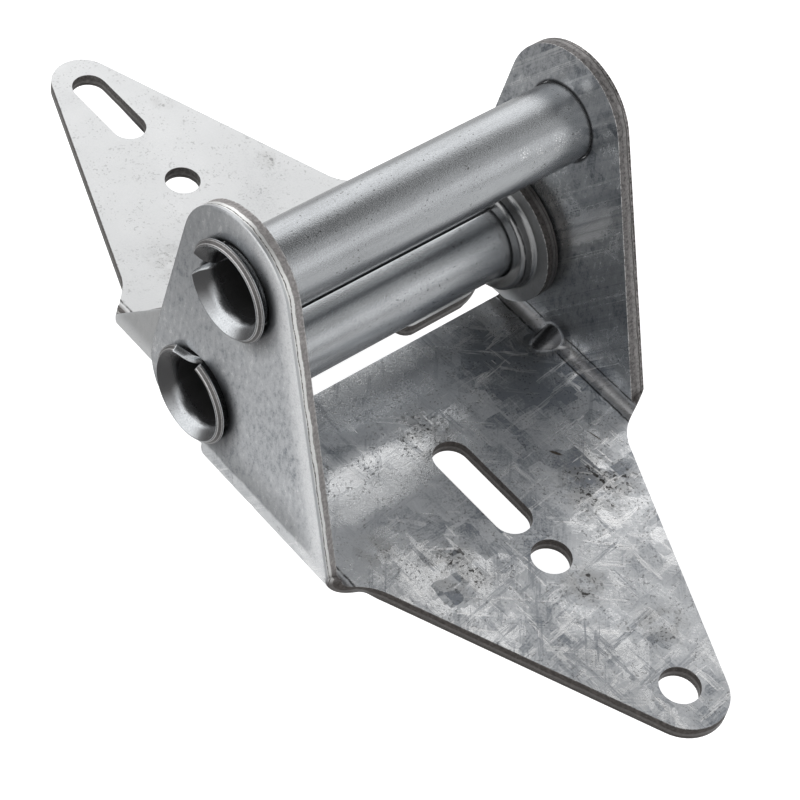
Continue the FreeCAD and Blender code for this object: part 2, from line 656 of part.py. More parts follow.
drive(s, "far_rear", Sketcher.Constraint("DistanceX", base_rear, 1, -1, 1, leaf_frame),
      "Sizes.leaf_tip_reach + Sizes.leaf_tip_radius + 8")
drive(s, "far_front", Sketcher.Constraint("DistanceX", -1, 1, base_front, 2, leaf_frame),
      "Sizes.leaf_tip_reach + Sizes.leaf_tip_radius + 8")
drive(s, "far_top", Sketcher.Constraint("DistanceY", -1, 1, roof, 1, tab_r + 6),
      "Sizes.tab_radius + 6")
cut_through(leaf, "tab_trim", tab_sketch, True)

# Plate outline, seen from above, one side: notch, arm, shoulder, taper and tip.

plate_sketch = new_sketch(leaf, "plate_outline", "XY_Plane", lift=FOLD_START)
notch = size("notch_width") / 2
depth = size("notch_depth")
notch_c = size("notch_corner")
arm_y = -size("arm_edge")
arm_c = size("arm_corner")
relief_r = size("arm_relief")
relief_x = leaf_half - size("arm_relief_run")
relief_y = arm_y + relief_r - math.sqrt(relief_r ** 2 - size("arm_relief_run") ** 2)
lh = rad("leaf_half_angle")
ls = rad("leaf_shoulder_angle")
lf = size("leaf_shoulder_fillet")
out_x = leaf_half + 3.0
far_x = leaf_half + 12.0
tip_touch = (leaf_tip_r * math.cos(lh), leaf_tip_y + leaf_tip_r * math.sin(lh))
taper = FreeCAD.Vector(-math.sin(lh), math.cos(lh), 0)
across = FreeCAD.Vector(-math.sin(ls), math.cos(ls), 0)
start = FreeCAD.Vector(leaf_half, leaf_foot, 0)
touch = FreeCAD.Vector(tip_touch[0], tip_touch[1], 0)
det = across.x * taper.y - across.y * taper.x
step = ((touch.x - start.x) * taper.y - (touch.y - start.y) * taper.x) / det
corner = start + across * step
setback = lf * math.tan((ls - lh) / 2)
round_in = corner - across * setback
round_out = corner + taper * setback
normal = FreeCAD.Vector(math.cos(ls), math.sin(ls), 0)
round_c = round_in + normal * lf
o = Outline(plate_sketch, (0, -leaf_frame))
middle_low = o.line(0, depth)
notch_floor = o.line(notch - notch_c, depth)
notch_arc = o.arc(notch - notch_c, depth - notch_c, notch, depth - notch_c, -1)
notch_side = o.line(notch, arm_y + arm_c, True)
arm_arc = o.arc(notch + arm_c, arm_y + arm_c, notch + arm_c, arm_y, 1)
arm_line = o.line(relief_x, arm_y, True)
relief = o.arc(relief_x, arm_y + relief_r, leaf_half, relief_y, 1)
heel_lip = o.line(out_x, relief_y)
outer_side = o.line(out_x, leaf_foot)
foot_lip = o.line(leaf_half, leaf_foot)
shoulder_line = o.line(round_in.x, round_in.y)
shoulder_arc = o.arc(round_c.x, round_c.y, round_out.x, round_out.y, -1)
taper_line = o.line(tip_touch[0], tip_touch[1], True)
tip_arc = o.arc(0, leaf_tip_y, 0, leaf_tip_y + leaf_tip_r, 1)
middle_top = o.line(0, leaf_frame)
roof = o.line(far_x, leaf_frame)
far_side = o.line(far_x, -leaf_frame)
floor = o.line(0, -leaf_frame)
o.close()
s = plate_sketch
for g in (notch_floor, arm_line, heel_lip, foot_lip, roof, floor):
    s.addConstraint(Sketcher.Constraint("Horizontal", g))
for g in (notch_side, outer_side, far_side, middle_top, middle_low):
    s.addConstraint(Sketcher.Constraint("Vertical", g))
s.addConstraint(Sketcher.Constraint("PointOnObject", middle_low, 1, -2))
s.addConstraint(Sketcher.Constraint("PointOnObject", tip_arc, 3, -2))
s.addConstraint(Sketcher.Constraint("PointOnObject", tip_arc, 2, -2))
drive(s, "far_low", Sketcher.Constraint("DistanceY", floor, 2, -1, 1, leaf_frame),
      "Sizes.leaf_tip_reach + Sizes.leaf_tip_radius + 8")
drive(s, "far_top", Sketcher.Constraint("DistanceY", -1, 1, roof, 1, leaf_frame),
      "Sizes.leaf_tip_reach + Sizes.leaf_tip_radius + 8")
drive(s, "far_x", Sketcher.Constraint("DistanceX", -1, 1, roof, 2, far_x),
      LEAF_WIDTH + " / 2 + 12")
drive(s, "out_x", Sketcher.Constraint("DistanceX", -1, 1, outer_side, 1, out_x),
      LEAF_WIDTH + " / 2 + 3")
drive(s, "depth", Sketcher.Constraint("DistanceY", -1, 1, notch_floor, 1, depth),
      "Sizes.notch_depth")
drive(s, "notch", Sketcher.Constraint("DistanceX", -1, 1, notch_side, 1, notch),
      "Sizes.notch_width / 2")
drive(s, "notch_c", Sketcher.Constraint("Radius", notch_arc, notch_c), "Sizes.notch_corner")
drive(s, "arm_c", Sketcher.Constraint("Radius", arm_arc, arm_c), "Sizes.arm_corner")
drive(s, "arm_y", Sketcher.Constraint("DistanceY", arm_line, 1, -1, 1, -arm_y),
      "Sizes.arm_edge")
drive(s, "relief", Sketcher.Constraint("Radius", relief, relief_r), "Sizes.arm_relief")
drive(s, "relief_x", Sketcher.Constraint("DistanceX", arm_line, 2, relief, 2,
                                         size("arm_relief_run")), "Sizes.arm_relief_run")
drive(s, "relief_end", Sketcher.Constraint("DistanceX", -1, 1, relief, 2, leaf_half),
      LEAF_WIDTH + " / 2")
drive(s, "foot_y", Sketcher.Constraint("DistanceY", -1, 1, foot_lip, 2, leaf_foot),
      "Sizes.leaf_foot_reach")
drive(s, "foot_x", Sketcher.Constraint("DistanceX", -1, 1, foot_lip, 2, leaf_half),
      LEAF_WIDTH + " / 2")
drive(s, "fillet", Sketcher.Constraint("Radius", shoulder_arc, lf),
      "Sizes.leaf_shoulder_fillet")
drive(s, "shoulder", Sketcher.Constraint("Angle", shoulder_line, math.pi / 2 + ls),
      "90 deg + Sizes.leaf_shoulder_angle * 1 deg")
drive(s, "taper", Sketcher.Constraint("Angle", taper_line, math.pi / 2 + lh),
      "90 deg + Sizes.leaf_half_angle * 1 deg")
drive(s, "tip_r", Sketcher.Constraint("Radius", tip_arc, leaf_tip_r),
      "Sizes.leaf_tip_radius")
drive(s, "tip_y", Sketcher.Constraint("DistanceY", -1, 1, tip_arc, 3, leaf_tip_y),
      "Sizes.leaf_tip_reach")
plate_trim = cut_through(leaf, "plate_trim", plate_sketch, False)

# Collars drawn inward from the tabs round the pivot tube.

collar_sketch = new_sketch(leaf, "collar_profile", "XZ_Plane")
tab_in = leaf_half - thick
lip = tab_in - size("collar_height")
brk = size("collar_break")
root = size("collar_foot")
wall = bore_r + size("collar_wall")
o = Outline(collar_sketch, (tab_in + 1, bore_r))
back = o.line(tab_in + 1, wall + root)
step_up = o.line(tab_in, wall + root)
root_line = o.line(tab_in - root, wall)
outer_wall = o.line(lip + brk, wall)
break_out = o.line(lip, wall - brk)
lip_face = o.line(lip, bore_r)
inner_wall = o.line(tab_in + 1, bore_r)
o.close()
s = collar_sketch
for g in (step_up, outer_wall, inner_wall):
    s.addConstraint(Sketcher.Constraint("Horizontal", g))
for g in (back, lip_face):
    s.addConstraint(Sketcher.Constraint("Vertical", g))
drive(s, "bore", Sketcher.Constraint("DistanceY", -1, 1, inner_wall, 2, bore_r), BORE_RADIUS)
drive(s, "wall", Sketcher.Constraint("DistanceY", inner_wall, 1, outer_wall, 2,
                                     wall - bore_r), "Sizes.collar_wall")
drive(s, "root_x", Sketcher.Constraint("DistanceX", root_line, 2, root_line, 1, root),
      "Sizes.collar_foot")
drive(s, "root_y", Sketcher.Constraint("DistanceY", root_line, 2, root_line, 1, root),
      "Sizes.collar_foot")
drive(s, "break_x", Sketcher.Constraint("DistanceX", break_out, 2, break_out, 1, brk),
      "Sizes.collar_break")
drive(s, "break_y", Sketcher.Constraint("DistanceY", break_out, 2, break_out, 1, brk),
      "Sizes.collar_break")
drive(s, "height", Sketcher.Constraint("DistanceX", lip_face, 1, root_line, 1,
                                       size("collar_height")), "Sizes.collar_height")
drive(s, "tab_in", Sketcher.Constraint("DistanceX", -1, 1, root_line, 1, tab_in),
      LEAF_WIDTH + " / 2 - Sizes.sheet_thickness")
drive(s, "sunk", Sketcher.Constraint("DistanceX", step_up, 2, step_up, 1, 1.0), "1")
doc.recompute()
collar = leaf.newObject("PartDesign::Revolution", "collar")
collar.Profile = collar_sketch
collar.ReferenceAxis = (collar_sketch, ["H_Axis"])
collar.Angle = 360.0
settle(leaf, collar, 1)

# The bore under each collar, drawn in from a wider mouth on the outer face.

mouth_sketch = new_sketch(leaf, "tab_bore_profile", "XZ_Plane")
lead = size("tab_lead")
mouth = bore_r + lead
o = Outline(mouth_sketch, (lip - 1, 0))
axis_line = o.line(leaf_half + 2, 0)
end_line = o.line(leaf_half + 2, mouth)
lip_line = o.line(leaf_half, mouth)
o.line(leaf_half - lead, bore_r)
land = o.line(lip - 1, bore_r)
start_line = o.line(lip - 1, 0)
o.close()
s = mouth_sketch
for g in (lip_line, land):
    s.addConstraint(Sketcher.Constraint("Horizontal", g))
for g in (end_line, start_line):
    s.addConstraint(Sketcher.Constraint("Vertical", g))
s.addConstraint(Sketcher.Constraint("PointOnObject", axis_line, 1, -1))
s.addConstraint(Sketcher.Constraint("PointOnObject", axis_line, 2, -1))
drive(s, "bore", Sketcher.Constraint("DistanceY", -1, 1, land, 2, bore_r), BORE_RADIUS)
drive(s, "lead_x", Sketcher.Constraint("DistanceX", land, 1, lip_line, 2, lead),
      "Sizes.tab_lead")
drive(s, "lead_y", Sketcher.Constraint("DistanceY", land, 1, lip_line, 2, lead),
      "Sizes.tab_lead")
drive(s, "face", Sketcher.Constraint("DistanceX", -1, 1, lip_line, 2, leaf_half),
      LEAF_WIDTH + " / 2")
drive(s, "over", Sketcher.Constraint("DistanceX", lip_line, 2, lip_line, 1, 2.0), "2")
drive(s, "start", Sketcher.Constraint("DistanceX", -1, 1, land, 2, lip - 1),
      LEAF_WIDTH + " / 2 - Sizes.sheet_thickness - Sizes.collar_height - 1")
doc.recompute()
tab_bore = leaf.newObject("PartDesign::Groove", "tab_bore")
tab_bore.Profile = mouth_sketch
tab_bore.ReferenceAxis = (mouth_sketch, ["H_Axis"])
tab_bore.Angle = 360.0
settle(leaf, tab_bore, -1)
mirror(leaf, "leaf_pair", [plate_trim, collar, tab_bore])

# Bolt hole and slot down the middle of the leaf.

leaf_holes = new_sketch(leaf, "leaf_holes", "XY_Plane", lift=FOLD_START)
slot_shape(leaf_holes, "slot", size("leaf_slot_near"), size("leaf_slot_far"),
           "Sizes.leaf_slot_near", "Sizes.leaf_slot_far", size("leaf_hole"),
           "Sizes.leaf_hole / 2")
round_hole(leaf_holes, "bolt", size("leaf_hole_reach"), "Sizes.leaf_hole_reach",
           size("leaf_hole"), "Sizes.leaf_hole")
cut_through(leaf, "leaf_punch", leaf_holes, False)
leaf.setExpression("Placement.Base.x", "Sizes.leaf_shift")


def split_tube(name, label, opening):
    """A rolled tube with an open seam, its two ends flared outside the ears."""
    body = new_body(name, label)
    s = new_sketch(body, label + "_profile", "XZ_Plane")
    outer = size("tube_diameter") / 2
    tube_wall = size("tube_wall")
    inner = outer - tube_wall
    bend = size("flare_bend")
    phi = rad("flare_angle")
    rim = size("flare_diameter") / 2
    x0 = bracket_half - size("flare_sink")
    quarter = phi / 4
    cz = outer + bend
    step = bend * math.tan(quarter)
    chord = (bend + tube_wall) * 2 * math.sin(quarter)
    bend_end = (x0 + bend * math.sin(phi) - step * math.cos(phi),
                cz - bend * math.cos(phi) - step * math.sin(phi))
    run = (rim - bend_end[1]) / math.sin(phi)
    tip_out = (bend_end[0] + run * math.cos(phi), rim)
    tip_in = (tip_out[0] + tube_wall * math.sin(phi), rim - tube_wall * math.cos(phi))
    in_mid = (x0 + chord * math.cos(quarter), inner + chord * math.sin(quarter))
    in_end = (in_mid[0] + chord * math.cos(3 * quarter), in_mid[1] + chord * math.sin(3 * quarter))
    o = Outline(s, (0, inner))
    mid = o.line(0, outer)
    skin = o.line(x0 + step, outer)
    bend_out = o.line(bend_end[0], bend_end[1])
    flare_out = o.line(tip_out[0], tip_out[1])
    end = o.line(tip_in[0], tip_in[1])
    flare_in = o.line(in_end[0], in_end[1])
    bend_high = o.line(in_mid[0], in_mid[1])
    bend_low = o.line(x0, inner)
    bore = o.line(0, inner)
    o.close()
    for g in (skin, bore):
        s.addConstraint(Sketcher.Constraint("Horizontal", g))
    s.addConstraint(Sketcher.Constraint("PointOnObject", mid, 1, -2))
    s.addConstraint(Sketcher.Constraint("PointOnObject", mid, 2, -2))
    s.addConstraint(Sketcher.Constraint("Equal", bend_high, bend_low))
    s.addConstraint(Sketcher.Constraint("Perpendicular", flare_out, end))
    drive(s, "outer", Sketcher.Constraint("DistanceY", -1, 1, skin, 1, outer),
          "Sizes.tube_diameter / 2")
    drive(s, "wall", Sketcher.Constraint("DistanceY", mid, 1, mid, 2, tube_wall),
          "Sizes.tube_wall")
    drive(s, "bend_x", Sketcher.Constraint("DistanceX", -1, 1, bend_out, 1, x0 + step),
          "Sizes.bracket_width / 2 - Sizes.flare_sink + "
          "Sizes.flare_bend * tan(Sizes.flare_angle * 0.25 deg)")
    drive(s, "bend_lean", Sketcher.Constraint("Angle", bend_out, 2 * quarter),
          "Sizes.flare_angle * 0.5 deg")
    drive(s, "bend_run", Sketcher.Constraint("Distance", bend_out, 2 * step),
          "2 * Sizes.flare_bend * tan(Sizes.flare_angle * 0.25 deg)")
    drive(s, "low_x", Sketcher.Constraint("DistanceX", -1, 1, bend_low, 2, x0),
          "Sizes.bracket_width / 2 - Sizes.flare_sink")
    drive(s, "low_lean", Sketcher.Constraint("Angle", bend_low, quarter - math.pi),
          "Sizes.flare_angle * 0.25 deg - 180 deg")
    drive(s, "high_lean", Sketcher.Constraint("Angle", bend_high, 3 * quarter - math.pi),
          "Sizes.flare_angle * 0.75 deg - 180 deg")
    drive(s, "low_run", Sketcher.Constraint("Distance", bend_low, chord),
          "2 * (Sizes.flare_bend + Sizes.tube_wall) * sin(Sizes.flare_angle * 0.25 deg)")
    drive(s, "lean", Sketcher.Constraint("Angle", flare_out, phi),
          "Sizes.flare_angle * 1 deg")
    drive(s, "rim", Sketcher.Constraint("DistanceY", -1, 1, flare_out, 2, rim),
          "Sizes.flare_diameter / 2")
    s.addConstraint(Sketcher.Constraint("Parallel", flare_out, flare_in))
    tip_mark = s.addConstraint(Sketcher.Constraint("DistanceX", -1, 1, end, 2, tip_in[0]))
    s.renameConstraint(tip_mark, "tip")
    s.setDriving(tip_mark, False)
    doc.recompute()
    skin_turn = body.newObject("PartDesign::Revolution", label + "_turn")
    skin_turn.Profile = s
    skin_turn.ReferenceAxis = (s, ["H_Axis"])
    skin_turn.Angle = 360.0
    settle(body, skin_turn, 1)
    cut = new_sketch(body, label + "_seam", "XY_Plane")
    half_gap = size("seam_gap") / 2
    spread = rim * math.sin(rad(opening) / 2)
    tip_x = tip_in[0]
    o = Outline(cut, (0, -half_gap))
    low = o.line(x0, -half_gap)
    fan_low = o.line(tip_x, -spread)
    end_low = o.line(tip_x + 1, -spread)
    far = o.line(tip_x + 1, spread)
    end_high = o.line(tip_x, spread)
    fan_high = o.line(x0, half_gap)
    high = o.line(0, half_gap)
    root_line = o.line(0, -half_gap)
    o.close()
    for g in (low, end_low):
        cut.addConstraint(Sketcher.Constraint("Horizontal", g))
    cut.addConstraint(Sketcher.Constraint("Symmetric", low, 1, high, 2, -1))
    cut.addConstraint(Sketcher.Constraint("Symmetric", low, 2, high, 1, -1))
    cut.addConstraint(Sketcher.Constraint("Symmetric", fan_low, 2, fan_high, 1, -1))
    cut.addConstraint(Sketcher.Constraint("Symmetric", far, 1, far, 2, -1))
    cut.addConstraint(Sketcher.Constraint("PointOnObject", low, 1, -2))
    drive(cut, "gap", Sketcher.Constraint("DistanceY", low, 1, high, 2, 2 * half_gap),
          "Sizes.seam_gap")
    drive(cut, "start", Sketcher.Constraint("DistanceX", -1, 1, low, 2, x0),
          "Sizes.bracket_width / 2 - Sizes.flare_sink")
    drive(cut, "spread", Sketcher.Constraint("DistanceY", far, 1, far, 2, 2 * spread),
          "Sizes.flare_diameter * sin(Sizes.%s * 0.5 deg)" % opening)
    drive(cut, "end", Sketcher.Constraint("DistanceX", -1, 1, fan_low, 2, tip_x),
          "%s.Constraints.tip" % s.Name)
    drive(cut, "over", Sketcher.Constraint("DistanceX", end_low, 1, end_low, 2, 1.0), "1")
    doc.recompute()
    seam = body.newObject("PartDesign::Pocket", label + "_split")
    seam.Profile = cut
    seam.Type = "ThroughAll"
    seam.Reversed = True
    settle(body, seam, -1)
    mirror(body, label + "_pair", [skin_turn, seam])
    return body


# Seams are cut at the top of each tube, which is then turned about its axis.

pivot_tube = split_tube("PivotTube", "pivot_tube", "pivot_seam_opening")
pivot_tube.Placement = FreeCAD.Placement(
    FreeCAD.Vector(0, 0, 0), FreeCAD.Rotation(FreeCAD.Vector(1, 0, 0), 0))
pivot_tube.setExpression("Placement.Rotation.Angle", "(Sizes.pivot_seam_angle - 90) * 1 deg")
roller_tube = split_tube("RollerTube", "roller_tube", "roller_seam_opening")
roller_tube.Placement = FreeCAD.Placement(
    FreeCAD.Vector(0, 0, 0), FreeCAD.Rotation(FreeCAD.Vector(1, 0, 0), 0))
roller_tube.setExpression("Placement.Base.y", "-Sizes.roller_offset")
roller_tube.setExpression("Placement.Base.z", "Sizes.roller_height")
roller_tube.setExpression("Placement.Rotation.Angle", "(Sizes.roller_seam_angle - 90) * 1 deg")
doc.recompute()

# Check every object, then write one file for each piece.

for obj in doc.Objects:
    bad = [state for state in obj.State if state in ("Invalid", "Error")]
    if bad:
        raise RuntimeError("%s is %s" % (obj.Name, ", ".join(bad)))
for body in (bracket, leaf, pivot_tube, roller_tube):
    shape = body.Shape
    if shape.isNull() or not shape.isValid() or len(shape.Solids) != 1:
        raise RuntimeError("%s has a bad shape" % body.Label)
    box = shape.BoundBox
    print("%-12s volume %9.1f  x %.2f %.2f  y %.2f %.2f  z %.2f %.2f" % (
        body.Label, shape.Volume, box.XMin, box.XMax, box.YMin, box.YMax, box.ZMin, box.ZMax))
for body in (bracket, leaf, pivot_tube, roller_tube):
    body.Shape.exportStep("parts/%s.step" % body.Label)
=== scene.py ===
"""Garage door hinge of galvanised steel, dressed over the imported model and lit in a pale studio.

Frame: metres, +X along the pivot axis, the bracket's flange towards -Y, the leaf towards +Y, +Z up.
Sizes in the dataclasses are millimetres and degrees unless a name says otherwise.
"""
from __future__ import annotations

import sys

import functools
import logging
import math
from collections.abc import Callable
from dataclasses import dataclass
from enum import Enum

import bmesh
import bpy
from bpy.types import ID, Material, Mesh, Node, NodeSocket, NodeTree, Object
from mathutils import Matrix, Vector


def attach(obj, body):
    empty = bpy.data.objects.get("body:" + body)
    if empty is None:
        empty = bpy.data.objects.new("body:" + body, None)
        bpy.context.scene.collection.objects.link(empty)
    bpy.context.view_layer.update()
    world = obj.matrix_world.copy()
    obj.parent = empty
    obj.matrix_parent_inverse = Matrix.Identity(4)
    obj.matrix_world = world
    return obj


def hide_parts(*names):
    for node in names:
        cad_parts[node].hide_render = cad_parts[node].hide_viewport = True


MM = 0.001
LOG = logging.getLogger("hinge")
Colour = tuple[float, float, float]
Rows = tuple[tuple[float, ...], ...]
SHADE_BLACK: Colour = (0.02, 0.02, 0.022)
WHITE: Colour = (1.0, 1.0, 1.0)
ORIGIN = (0.0, 0.0, 0.0)
THICKNESS = 3.04
INSIDE_BEND = 2.40
OUTER_BEND = INSIDE_BEND + THICKNESS
WEB_TOP = -16.20
DART_Y = -18.10

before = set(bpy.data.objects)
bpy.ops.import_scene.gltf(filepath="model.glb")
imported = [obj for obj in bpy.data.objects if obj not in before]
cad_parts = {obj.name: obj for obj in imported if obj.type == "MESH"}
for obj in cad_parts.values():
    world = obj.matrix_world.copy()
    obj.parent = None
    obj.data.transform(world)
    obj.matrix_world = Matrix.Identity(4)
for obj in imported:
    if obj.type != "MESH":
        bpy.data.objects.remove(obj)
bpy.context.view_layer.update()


class Side(Enum):
    """How far a sheet's edge is rounded: the punch rolls one face's edge and leaves a burr on the other."""

    ROLLED = 1.0
    BURR = 0.16
    LIP = 1.1


def operation(name: str, swapped: bool = False) -> Callable[..., Value]:
    """Make a method of Value that adds one Math node.

    Args:
        name: the Math node's operation.
        swapped: put the other number first.

    Returns:
        The method.
    """
    def method(self: Value, other: object = 0.0) -> Value:
        return self.wires.math(name, other, self) if swapped else self.wires.math(name, self, other)
    return method


@dataclass(frozen=True)
class Value:
    """One output of a node, used in sums like a plain number."""

    wires: Wiring
    socket: NodeSocket

    __add__, __radd__ = operation("ADD"), operation("ADD", swapped=True)
    __sub__, __rsub__ = operation("SUBTRACT"), operation("SUBTRACT", swapped=True)
    __mul__, __rmul__ = operation("MULTIPLY"), operation("MULTIPLY", swapped=True)
    __truediv__, __pow__, __abs__ = operation("DIVIDE"), operation("POWER"), operation("ABSOLUTE")
    max, min, sign = operation("MAXIMUM"), operation("MINIMUM"), operation("SIGN")
    cos, sin = operation("COSINE"), operation("SINE")


@dataclass(frozen=True)
class Step:
    """A node, with its outputs read by name or number."""

    wires: Wiring
    node: Node

    def __getitem__(self, name: str | int) -> Value:
        """Read one output."""
        return Value(self.wires, self.node.outputs[name])

    def feed(self, ins: dict) -> None:
        """Set inputs, or join them to other nodes' outputs.

        Args:
            ins: a Value, number, colour or vector for each input, by name or number.
        """
        for name, value in ins.items():
            socket = self.node.inputs[name]
            if isinstance(value, Value):
                self.wires.tree.links.new(value.socket, socket)
            elif socket.type == "RGBA" and len(value) == 3:
                socket.default_value = (*value, 1.0)
            else:
                socket.default_value = value


@dataclass
class Wiring:
    """Adds nodes to a shader or geometry tree and joins them, so that a finish reads as a list of steps."""

    tree: NodeTree
    count: int = 0

    def add(self, kind: str, ins: dict | None = None, **settings: object) -> Step:
        """Add one node.

        Args:
            kind: the node's type name.
            ins: inputs to feed, by name or number.
            settings: properties of the node itself.

        Returns:
            The new node.
        """
        node = self.tree.nodes.new(kind)
        node.location = (180 * (self.count % 12), -220 * (self.count // 12))
        self.count += 1
        for name, value in settings.items():
            setattr(node, name, value)
        step = Step(self, node)
        step.feed(ins or {})
        return step

    def math(self, name: str, a: object, b: object = 0.0, clamp: bool = False) -> Value:
        """One sum of two numbers.

        Args:
            name: the Math node's operation.
            a: first number or Value.
            b: second number or Value.
            clamp: keep the result between 0 and 1.

        Returns:
            The result.
        """
        return self.add("ShaderNodeMath", {0: a, 1: b}, operation=name, use_clamp=clamp)[0]

    def vec(self, name: str, a: object, b: object = ORIGIN) -> Value:
        """One sum of two vectors.

        Args:
            name: the Vector Math node's operation; SCALE takes a number as b.
            a: first vector.
            b: second vector.

        Returns:
            The resulting vector, or number for LENGTH and DISTANCE.
        """
        second = "Scale" if name == "SCALE" else 1
        step = self.add("ShaderNodeVectorMath", {0: a, second: b}, operation=name)
        return step["Value" if name in ("LENGTH", "DISTANCE") else "Vector"]

    def ease(self, value: object, low: object, high: object, start: float = 0.0, end: float = 1.0) -> Value:
        """Turn a value smoothly from start to end as it goes from low to high.

        Args:
            value: what is read.
            low: where the change begins.
            high: where it ends.
            start: result at low.
            end: result at high.

        Returns:
            The eased value.
        """
        return self.add("ShaderNodeMapRange", {"Value": value, "From Min": low, "From Max": high,
                                               "To Min": start, "To Max": end},
                        interpolation_type="SMOOTHSTEP")["Result"]

    def mix(self, share: object, a: object, b: object, blend: str = "MIX") -> Value:
        """Mix two colours.

        Args:
            share: share of b.
            a: first colour.
            b: second colour.
            blend: the blend type.

        Returns:
            The mixed colour.
        """
        return self.add("ShaderNodeMix", {"Factor": share, 6: a, 7: b}, data_type="RGBA", blend_type=blend)[2]

    def noise(self, vector: object, scale: object, detail: float = 3.0, rough: float = 0.55) -> Value:
        """Soft noise from 0 to 1.

        Args:
            vector: where it is read, in millimetres.
            scale: waves for each millimetre.
            detail: number of finer layers.
            rough: strength of the finer layers.

        Returns:
            The noise.
        """
        return self.add("ShaderNodeTexNoise", {"Vector": vector, "Scale": scale, "Detail": detail,
                                               "Roughness": rough})["Fac"]

    def cells(self, vector: object) -> tuple[Value, ...]:
        """Straight-sided cells with three random numbers each, the same all over a cell."""
        cell = self.add("ShaderNodeTexVoronoi", {"Vector": vector, "Scale": 1.0, "Randomness": 1.0},
                        feature="F1", distance="CHEBYCHEV")
        return self.parts(cell["Color"])

    def millimetres(self) -> Value:
        """Object coordinates in millimetres."""
        return self.vec("SCALE", self.add("ShaderNodeTexCoord")["Object"], 1000.0)

    def parts(self, vector: object) -> tuple[Value, ...]:
        """The three numbers of a vector."""
        step = self.add("ShaderNodeSeparateXYZ", {0: vector})
        return step[0], step[1], step[2]

    def join(self, x: object, y: object, z: object = 0.0) -> Value:
        """A vector from three numbers."""
        return self.add("ShaderNodeCombineXYZ", {0: x, 1: y, 2: z})[0]

    def group(self, tree: NodeTree, ins: dict) -> Step:
        """Place a shared effect.

        Args:
            tree: the effect's group.
            ins: its inputs by name.

        Returns:
            The group node.
        """
        return self.add("ShaderNodeGroup", ins, node_tree=tree)


def largest(values: list[Value]) -> Value:
    """The largest of some values."""
    return functools.reduce(Value.max, values)


def scaled(colour: Colour, factor: float) -> Colour:
    """A colour made lighter or darker, cut at 1."""
    return tuple(min(factor * v, 1.0) for v in colour)


def new_group(name: str, ins: dict[str, float | tuple], outs: tuple[str, ...]) -> tuple[Wiring, dict, Step]:
    """Start a shader group with named inputs and outputs.

    Args:
        name: the group's name.
        ins: inputs and their defaults; a tuple makes a vector input.
        outs: names of the value outputs.

    Returns:
        The group's wiring, its inputs by name and its output node.
    """
    tree = bpy.data.node_groups.new(name, "ShaderNodeTree")
    for key, value in ins.items():
        kind = "NodeSocketVector" if isinstance(value, tuple) else "NodeSocketFloat"
        tree.interface.new_socket(key, in_out="INPUT", socket_type=kind).default_value = value
    for key in outs:
        tree.interface.new_socket(key, in_out="OUTPUT", socket_type="NodeSocketFloat")
    w = Wiring(tree)
    source = w.add("NodeGroupInput")
    return w, {key: source[key] for key in ins}, w.add("NodeGroupOutput")


def new_metal(name: str, metallic: float) -> tuple[Material, Wiring, Step]:
    """Start a metal finish.

    Args:
        name: the material's name.
        metallic: the shader's metallic share.

    Returns:
        The material, its wiring and its shader node.
    """
    material = bpy.data.materials.new(name)
    material.use_nodes = True
    w = Wiring(material.node_tree)
    shader = Step(w, material.node_tree.nodes["Principled BSDF"])
    shader.feed({"Metallic": metallic})
    return material, w, shader


